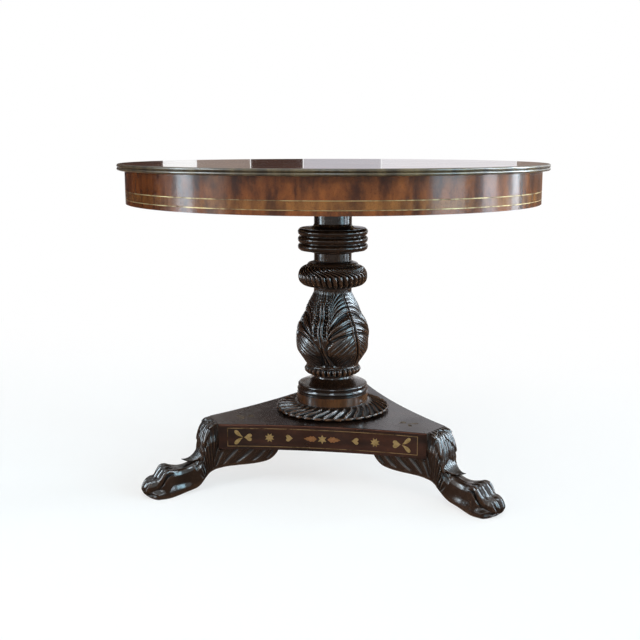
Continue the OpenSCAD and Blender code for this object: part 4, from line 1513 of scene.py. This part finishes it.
@dataclass
class Leg:
    """A leg: bracket, leafed knee and lion's paw, modelled along +X and copied to the three corners.

    Each rung joins a point on the upper edge to one on the lower edge. A place is -1 at the bracket's end, 0
    at the plinth's corner and 1 at the toe tips. A level is 0 on the floor, 1 at the plinth's underside and 2
    at its top. Then come the width's shares of ankle and knee, and the rounding of both edges in millimetres.
    """

    azimuths: dict[str, float] = field(
        default_factory=lambda: {"left_leg": 210, "right_leg": -30, "back_leg": 90}
    )
    leaflets: Leaflets = Leaflets()
    leaf: KneeLeaf = KneeLeaf()
    toes: Paw = Paw()
    corner: float = 290.7 * MM
    reach: float = 170 * MM
    bracket: float = 148 * MM
    clear: float = 104.9 * MM
    plinth: float = 58.6 * MM
    knee: float = 76 * MM
    ankle: float = 46 * MM
    paw: float = 82 * MM
    steps: int = 11
    top_points: int = 88
    side_points: int = 36
    foot_points: int = 16
    upper_arc_points: int = 14
    lower_arc_points: int = 7
    round_limit: float = 0.48
    rungs: tuple[tuple[float, ...], ...] = (
        (-1.00, 1.00, -0.99, 0.93, 0, 0.72, 0.4, 3),
        (-0.91, 1.00, -0.933, 0.745, 0, 0.80, 0.4, 8),
        (-0.79, 1.00, -0.825, 0.615, 0, 0.85, 0.4, 10),
        (-0.65, 1.00, -0.675, 0.565, 0, 0.88, 0.4, 12),
        (-0.47, 1.00, -0.494, 0.555, 0, 0.92, 0.4, 12),
        (-0.28, 1.00, -0.307, 0.56, 0, 0.95, 0.4, 12),
        (-0.11, 1.00, -0.146, 0.56, 0, 0.98, 0.4, 12),
        (0.00, 1.00, -0.036, 0.545, 0, 1.00, 0.4, 12),
        (0.00, 1.36, 0.039, 0.525, 0, 1.00, 0.4, 12),
        (0.00, 1.72, 0.081, 0.50, 0, 1.00, 0.4, 12),
        (0.00, 1.985, 0.112, 0.471, 0, 1.00, 0.4, 12),
        (0.051, 2.00, 0.133, 0.445, 0, 1.00, 5, 12),
        (0.112, 1.93, 0.151, 0.415, 0, 1.00, 10, 12),
        (0.166, 1.717, 0.167, 0.38, 0, 1.00, 13, 12),
        (0.205, 1.375, 0.18, 0.345, 0.1, 0.90, 15, 12),
        (0.224, 1.017, 0.192, 0.30, 0.3, 0.70, 16, 12),
        (0.233, 0.876, 0.206, 0.245, 0.5, 0.50, 16, 13),
        (0.266, 0.771, 0.225, 0.175, 0.8, 0.20, 16, 14),
        (0.342, 0.681, 0.26, 0.115, 1, 0, 16, 14),
        (0.427, 0.629, 0.325, 0.075, 1, 0, 16, 14),
        (0.518, 0.61, 0.415, 0.042, 0.9, 0, 16, 14),
        (0.602, 0.624, 0.505, 0.02, 0.6, 0, 17, 14),
        (0.669, 0.652, 0.588, 0.005, 0.3, 0, 19, 14),
        (0.73, 0.624, 0.657, 0, 0.1, 0, 20, 13),
        (0.784, 0.538, 0.718, 0, 0.02, 0, 20, 12),
        (0.845, 0.452, 0.778, 0, 0, 0, 20, 12),
        (0.912, 0.405, 0.839, 0, 0, 0, 18, 12),
        (0.96, 0.338, 0.893, 0.014, 0.08, 0, 16, 12),
        (0.993, 0.238, 0.942, 0.048, 0.3, 0, 10, 9),
        (1.00, 0.162, 0.969, 0.081, 0.6, 0, 4, 4),
        (0.987, 0.114, 0.981, 0.10, 0.8, 0, 1, 0.8),
    )

    def spot(self, place: Array, level: Array) -> Array:
        """Turn places and levels into distances from the axis and heights.

        Args:
            place: The places along the leg.
            level: The levels.

        Returns:
            Pairs of distance and height.
        """
        along = self.corner + np.where(place < 0, place * self.bracket, place * self.reach)
        height = np.minimum(level, 1) * self.clear + np.maximum(level - 1, 0) * self.plinth
        return np.stack([along, height], axis=-1)

    def sections(self) -> Sections:
        """Work out the rounded sections along the leg.

        Returns:
            For every point of every section: its place, shares across and up, rung's number and half width.
        """
        rungs = smooth_curve(np.array(self.rungs), self.steps)
        place, level = rungs[:, 0].copy(), rungs[:, 1].copy()
        inside = (place < 0) & (level > 1)
        lifted = inside & (level - 1 >= -place)
        level[inside & ~lifted] = 1
        place[lifted] = 0
        upper, lower = self.spot(place, level), self.spot(rungs[:, 2], np.maximum(rungs[:, 3], 0))
        ankle, knee = np.clip(rungs[:, 4], 0, 1), np.clip(rungs[:, 5], 0, 1.1)
        rest = np.maximum(1 - knee - ankle, 0)
        half = ((knee * self.knee + ankle * self.ankle + rest * self.paw) / 2)[:, None]
        span = np.hypot(*(upper - lower).T)[:, None]
        rounds = (np.minimum(rungs[:, i : i + 1] * MM, half - MM) for i in (6, 7))
        top_round, low_round = (np.minimum(edge, span * self.round_limit) for edge in rounds)

        def line(count: int) -> Array:
            """Space shares evenly from 0 to just under 1."""
            return np.linspace(0, 1, count, endpoint=False)[None, :]

        def arc(count: int) -> tuple[Array, Array]:
            """Give the sines and cosines round a quarter turn."""
            angle = line(count) * math.pi / 2
            return np.sin(angle), np.cos(angle)

        top, side, foot = line(self.top_points), line(self.side_points), line(self.foot_points)
        sin_t, cos_t = arc(self.upper_arc_points)
        sin_b, cos_b = arc(self.lower_arc_points)
        across = np.concatenate(
            [
                (half - top_round) * (2 * top - 1),
                half - top_round + top_round * sin_t,
                half + 0 * side,
                half - low_round + low_round * cos_b,
                (half - low_round) * (1 - 2 * foot),
                -(half - low_round) - low_round * sin_b,
                -half + 0 * side,
                -(half - top_round) - top_round * cos_t,
            ],
            axis=1,
        )
        up = np.concatenate(
            [
                span + 0 * top,
                span - top_round + top_round * cos_t,
                span - top_round - side * (span - top_round - low_round),
                low_round - low_round * sin_b,
                0 * foot + 0 * span,
                low_round - low_round * cos_b,
                low_round + side * (span - top_round - low_round),
                span - top_round + top_round * sin_t,
            ],
            axis=1,
        )
        lean = (upper - lower) / span
        along = lower[:, 0:1] + lean[:, 0:1] * up
        height = lower[:, 1:2] + lean[:, 1:2] * up
        number = np.linspace(0, len(self.rungs) - 1, len(rungs))[:, None] + 0 * up
        return {
            "points": np.stack([along, across, height], axis=-1),
            "across": across / half,
            "up": up / span,
            "number": number,
            "half": half + 0 * up,
        }

    def body(self) -> bpy.types.Object:
        """Model the leg's carved body along +X.

        Returns:
            The body.
        """
        part = self.sections()
        points = part["points"]
        along = np.gradient(points, axis=0)
        around = np.roll(points, -1, axis=1) - np.roll(points, 1, axis=1)
        normal = np.cross(along, around)
        normal /= np.maximum(np.linalg.norm(normal, axis=-1, keepdims=True), 1e-9)
        middle = points.mean(axis=1, keepdims=True)
        normal *= np.sign(((points - middle) * normal).sum(axis=-1).mean())
        depth = self.leaflets.carve(part) + self.leaf.carve(part) + self.toes.carve(part)
        points = points - depth[..., None] * normal
        self.toes.shape(part, points)
        points[..., 2] = np.maximum(points[..., 2], 0)
        return Bench.wrap("leg_body", points, tube=True)

    def build(self, polish: Polish) -> None:
        """Model one leg and hang a copy on each corner.

        Args:
            polish: The table's finishes.
        """
        first = Bench.join("leg_pattern", [self.body(), self.leaf.flick()])
        Bench.relieve(first)
        for name, azimuth in self.azimuths.items():
            Bench.take(first)
            bpy.ops.object.duplicate()
            leg = bpy.context.object
            leg.name = f"{name}_carving"
            leg.data.transform(Matrix.Rotation(math.radians(azimuth), 4, "Z"))
            Bench.add(leg, "root", "carved_wood", polish.legs, name)
        bpy.data.objects.remove(first)


@dataclass(frozen=True)
class Window:
    """A pane of daylight that faces the table, upright or tipped down towards it.

    It may be left out of reflections, or of the light that falls on plain surfaces.
    """

    name: str
    azimuth: float
    width: float
    radiance: float
    colour: Colour
    low: float = 0.15
    high: float = 2.15
    distance: float = 3.4
    tilt: float = 0.0
    reflects: bool = True
    fills: bool = True

    def add(self) -> None:
        """Hang the pane."""
        light = bpy.data.lights.new(self.name, "AREA")
        light.shape = "RECTANGLE"
        light.size, light.size_y = self.width, self.high - self.low
        light.energy = self.radiance * math.pi * light.size * light.size_y
        light.color = self.colour
        lamp = bpy.data.objects.new(self.name, light)
        bpy.context.scene.collection.objects.link(lamp)
        turn = math.radians(self.azimuth)
        lamp.location = (
            self.distance * math.cos(turn),
            self.distance * math.sin(turn),
            (self.low + self.high) / 2,
        )
        lamp.rotation_euler = (math.radians(90 - self.tilt), 0, turn + math.pi / 2)
        lamp.visible_glossy = self.reflects
        lamp.visible_diffuse = self.fills


@dataclass(frozen=True)
class Screen:
    """A flat panel that shows only as a reflection in the polish, as the dark parts of a room would."""

    name: str
    corners: tuple[tuple[float, float, float], ...]
    colour: Colour

    @staticmethod
    def upright(
        name: str, start: Span, end: Span, colour: Colour, low: float = 0.3, high: float = 3.2
    ) -> "Screen":
        """Plan a panel that stands between two places on the floor.

        Args:
            name: The panel's name.
            start: One end.
            end: The other end.
            colour: Its colour.
            low: Its lower edge's height.
            high: Its upper edge's height.

        Returns:
            The panel.
        """
        return Screen(name, ((*start, low), (*end, low), (*start, high), (*end, high)), colour)

    def add(self) -> None:
        """Hang the panel between its four corners."""
        Bench.clear()
        bpy.ops.mesh.primitive_plane_add(size=1)
        panel = bpy.context.object
        panel.name = self.name
        for vertex, corner in zip(panel.data.vertices, self.corners):
            vertex.co = corner
        made = bpy.data.materials.new(self.name)
        made.use_nodes = True
        nodes = Nodes(made.node_tree)
        glow = nodes.add("Emission", Color=self.colour, Strength=1.0)
        nodes.add("OutputMaterial", Surface=glow.outputs[0])
        panel.data.materials.append(made)
        panel.visible_camera = False
        panel.visible_diffuse = False
        panel.visible_shadow = False


@dataclass(frozen=True)
class Studio:
    """The floor with its sweep, the light and the camera."""

    lens: float = 55.66
    sensor: float = 36.0
    clip_end: float = 200.0
    eye: tuple[float, float, float] = (0.3279, -2.2631, 0.7916)
    turn: tuple[float, float, float] = (79.7, 0.0, 8.99)
    pixel: float = 0.0579
    behind: float = 4.2
    floor_half: float = 7.0
    sweep_start: float = 3.0
    sweep_radius: float = 2.0
    sweep_top: float = 6.0
    sweep_steps: int = 16
    floor_shade: Colour = (0.9, 0.885, 0.86)
    floor_mottle: float = 0.985
    floor_white: float = 0.68
    white_depth: Span = (-0.4, 1.8)
    room: Colour = (0.2, 0.2, 0.205)
    middle_column: int = 320

    def camera(self) -> None:
        """Set up the camera where the photograph was taken from."""
        data = bpy.data.cameras.new("camera")
        data.lens = self.lens
        data.sensor_width = self.sensor
        data.clip_end = self.clip_end
        camera = bpy.data.objects.new("camera", data)
        camera.location = self.eye
        camera.rotation_euler = tuple(math.radians(a) for a in self.turn)
        bpy.context.scene.collection.objects.link(camera)
        bpy.context.scene.camera = camera

    def sweep(self) -> None:
        """Lay the pale floor and carry it up behind the table as a curved sweep."""
        Bench.clear()
        size = 2 * self.floor_half
        bpy.ops.mesh.primitive_plane_add(size=size, location=(0, self.sweep_start - self.floor_half, 0))
        floor = bpy.context.object
        floor.name = "floor_sweep"
        bpy.ops.object.transform_apply(location=True)
        Bench.edit(floor)
        mesh = bmesh.from_edit_mesh(floor.data)
        for vertex in mesh.verts:
            vertex.select_set(vertex.co.y > 0)
        mesh.select_flush(True)
        angles = [math.pi / 2 * i / self.sweep_steps for i in range(self.sweep_steps + 1)]
        for a, b in zip(angles, angles[1:]):
            out = self.sweep_radius * (math.sin(b) - math.sin(a))
            up = self.sweep_radius * (math.cos(a) - math.cos(b))
            bpy.ops.mesh.extrude_region_move(TRANSFORM_OT_translate={"value": (0, out, up)})
        rest = self.sweep_top - self.sweep_radius
        bpy.ops.mesh.extrude_region_move(TRANSFORM_OT_translate={"value": (0, 0, rest)})
        bpy.ops.object.mode_set(mode="OBJECT")
        bpy.ops.object.shade_smooth()
        floor.data.materials.append(self.paper())

    def paper(self) -> bpy.types.Material:
        """Build the sweep's finish: plain near the table, and white to the eye further back.

        Returns:
            The material.
        """
        made = bpy.data.materials.new("floor_sweep")
        made.use_nodes = True
        nodes = Nodes(made.node_tree)
        spot = nodes.add("TexCoord").outputs["Object"]
        clouds = nodes.add("TexNoise", Vector=spot, Scale=2.0, Detail=3.0)
        darker = tuple(self.floor_mottle * share for share in self.floor_shade)
        shade = nodes.blend(clouds.outputs[0], self.floor_shade, darker)
        plain = nodes.add("BsdfDiffuse", Color=shade, Roughness=0.9)
        white = nodes.add("Emission", Color=(1.0, 1.0, 1.0), Strength=1.0)
        depth = nodes.add("SeparateXYZ", i0=spot).outputs[1]
        path = nodes.add("LightPath")
        seen = nodes.maths("MAXIMUM", path.outputs["Is Camera Ray"], path.outputs["Is Glossy Ray"])
        seen = nodes.maths("MAXIMUM", seen, path.outputs["Is Transmission Ray"])
        whiteness = nodes.ramp(depth, *self.white_depth, start=self.floor_white)
        share = nodes.maths("MULTIPLY", whiteness, seen)
        mixed = nodes.add("MixShader", i0=share, i1=plain.outputs[0], i2=white.outputs[0])
        nodes.add("OutputMaterial", Surface=mixed.outputs[0])
        return made

    def sky(self) -> None:
        """Give the room a plain soft light."""
        world = bpy.data.worlds.new("studio")
        bpy.context.scene.world = world
        world.use_nodes = True
        nodes = Nodes(world.node_tree)
        light = nodes.add("Background", Color=self.room, Strength=1.0)
        nodes.add("OutputWorld", Surface=light.outputs[0])

    def windows(self) -> tuple[Window, ...]:
        """Plan the windows: name, azimuth, width, radiance and colour, then what differs from the usual.

        Returns:
            The windows.
        """
        cool = (0.72, 0.88, 1.0)
        return (
            Window("left_window", -160, 0.62, 16.0, cool, fills=False),
            Window("left_fill", -118, 1.2, 2.4, (1.0, 0.97, 0.94), reflects=False),
            Window("left_wall", -141, 0.7, 3.0, (1.0, 0.97, 0.9)),
            Window("right_window_low", 24, 0.38, 13.0, cool, low=0.1, high=1.0),
            Window("right_window", 24, 0.75, 24.0, cool, low=1.0, high=2.4),
            Window("right_wall", 2, 0.6, 11.0, (0.74, 0.86, 1.0)),
            Window("right_pane", -24, 1.1, 8.5, (0.5, 0.82, 1.0), low=0.3, high=2.6),
            Window("left_fanlight", -150, 0.7, 22.0, cool, low=1.9, high=2.9, tilt=25, fills=False),
            Window("right_fanlight", 6, 0.9, 20.0, cool, low=2.4, high=3.4, tilt=25, fills=False),
            Window("high_pane", -84, 0.7, 14.0, cool, low=2.1, high=2.9, distance=2.7, tilt=38),
            Window("ceiling_light", -75, 1.8, 2.6, (1.0, 0.98, 0.95), 1.9, 3.7, 2.2, tilt=55, reflects=False),
        )

    def screens(self) -> list[Screen]:
        """Plan the panels: those at the room's far end by columns of the picture, the others by their ends.

        Returns:
            The panels.
        """
        dark, warm = (0.06, 0.035, 0.03), (0.3, 0.24, 0.21)
        lilac, pale = (0.55, 0.53, 0.57), (0.82, 0.8, 0.83)
        columns = (
            ("far_left_room", 40, 166, dark),
            ("near_left_room", 199, 251, warm),
            ("door_room", 252, 303, dark),
            ("middle_room", 304, 380, lilac),
            ("right_room", 381, 511, pale),
            ("far_right_room", 512, 600, warm),
        )
        walls = (
            ("low_left_room", (-4.0, -0.2), (-2.6, 3.2), dark, 0.0, 0.64),
            ("low_right_room", (3.2, 2.4), (0.6, 4.0), (0.24, 0.17, 0.14), 0.0, 0.64),
            ("left_room", (-4.0, -0.2), (-2.75, 4.2), (0.1, 0.08, 0.08)),
        )
        near, far, side, level = 4.2, -5.0, 4.0, 0.003
        boards = ((-side, far, level), (side, far, level), (-side, near, level), (side, near, level))
        return [
            *(Screen.upright(name, self.sight(a), self.sight(b), shade) for name, a, b, shade in columns),
            *(Screen.upright(*wall) for wall in walls),
            Screen("floor_boards", boards, (0.24, 0.145, 0.1)),
        ]

    def build(self) -> None:
        """Set up the camera, sweep, room light, windows and panels."""
        bpy.context.scene.view_settings.view_transform = "Standard"
        self.camera()
        self.sweep()
        self.sky()
        for hung in (*self.windows(), *self.screens()):
            hung.add()

    def sight(self, column: float) -> Span:
        """Find where the line of sight of one column of the picture meets the room's far end.

        Args:
            column: The column, counted in pixels from the left.

        Returns:
            The place on the floor.
        """
        azimuth = math.radians(self.turn[2] + 90 - (column - self.middle_column) * self.pixel)
        return self.eye[0] + (self.behind - self.eye[1]) / math.tan(azimuth), self.behind


def main() -> None:
    """Build the table's looks in order."""
    logging.basicConfig(level=logging.INFO, format="%(name)s: %(message)s")
    Studio().build()
    polish = Polish()
    polish.dress()
    for member in (
        GadroonCollar("gadroon_collar"),
        Baluster("baluster"),
        BeadRing("bead_ring"),
        PetalBoss("petal_boss"),
    ):
        member.build(polish)
    Leg().build(polish)


if __name__ == "__main__":
    main()
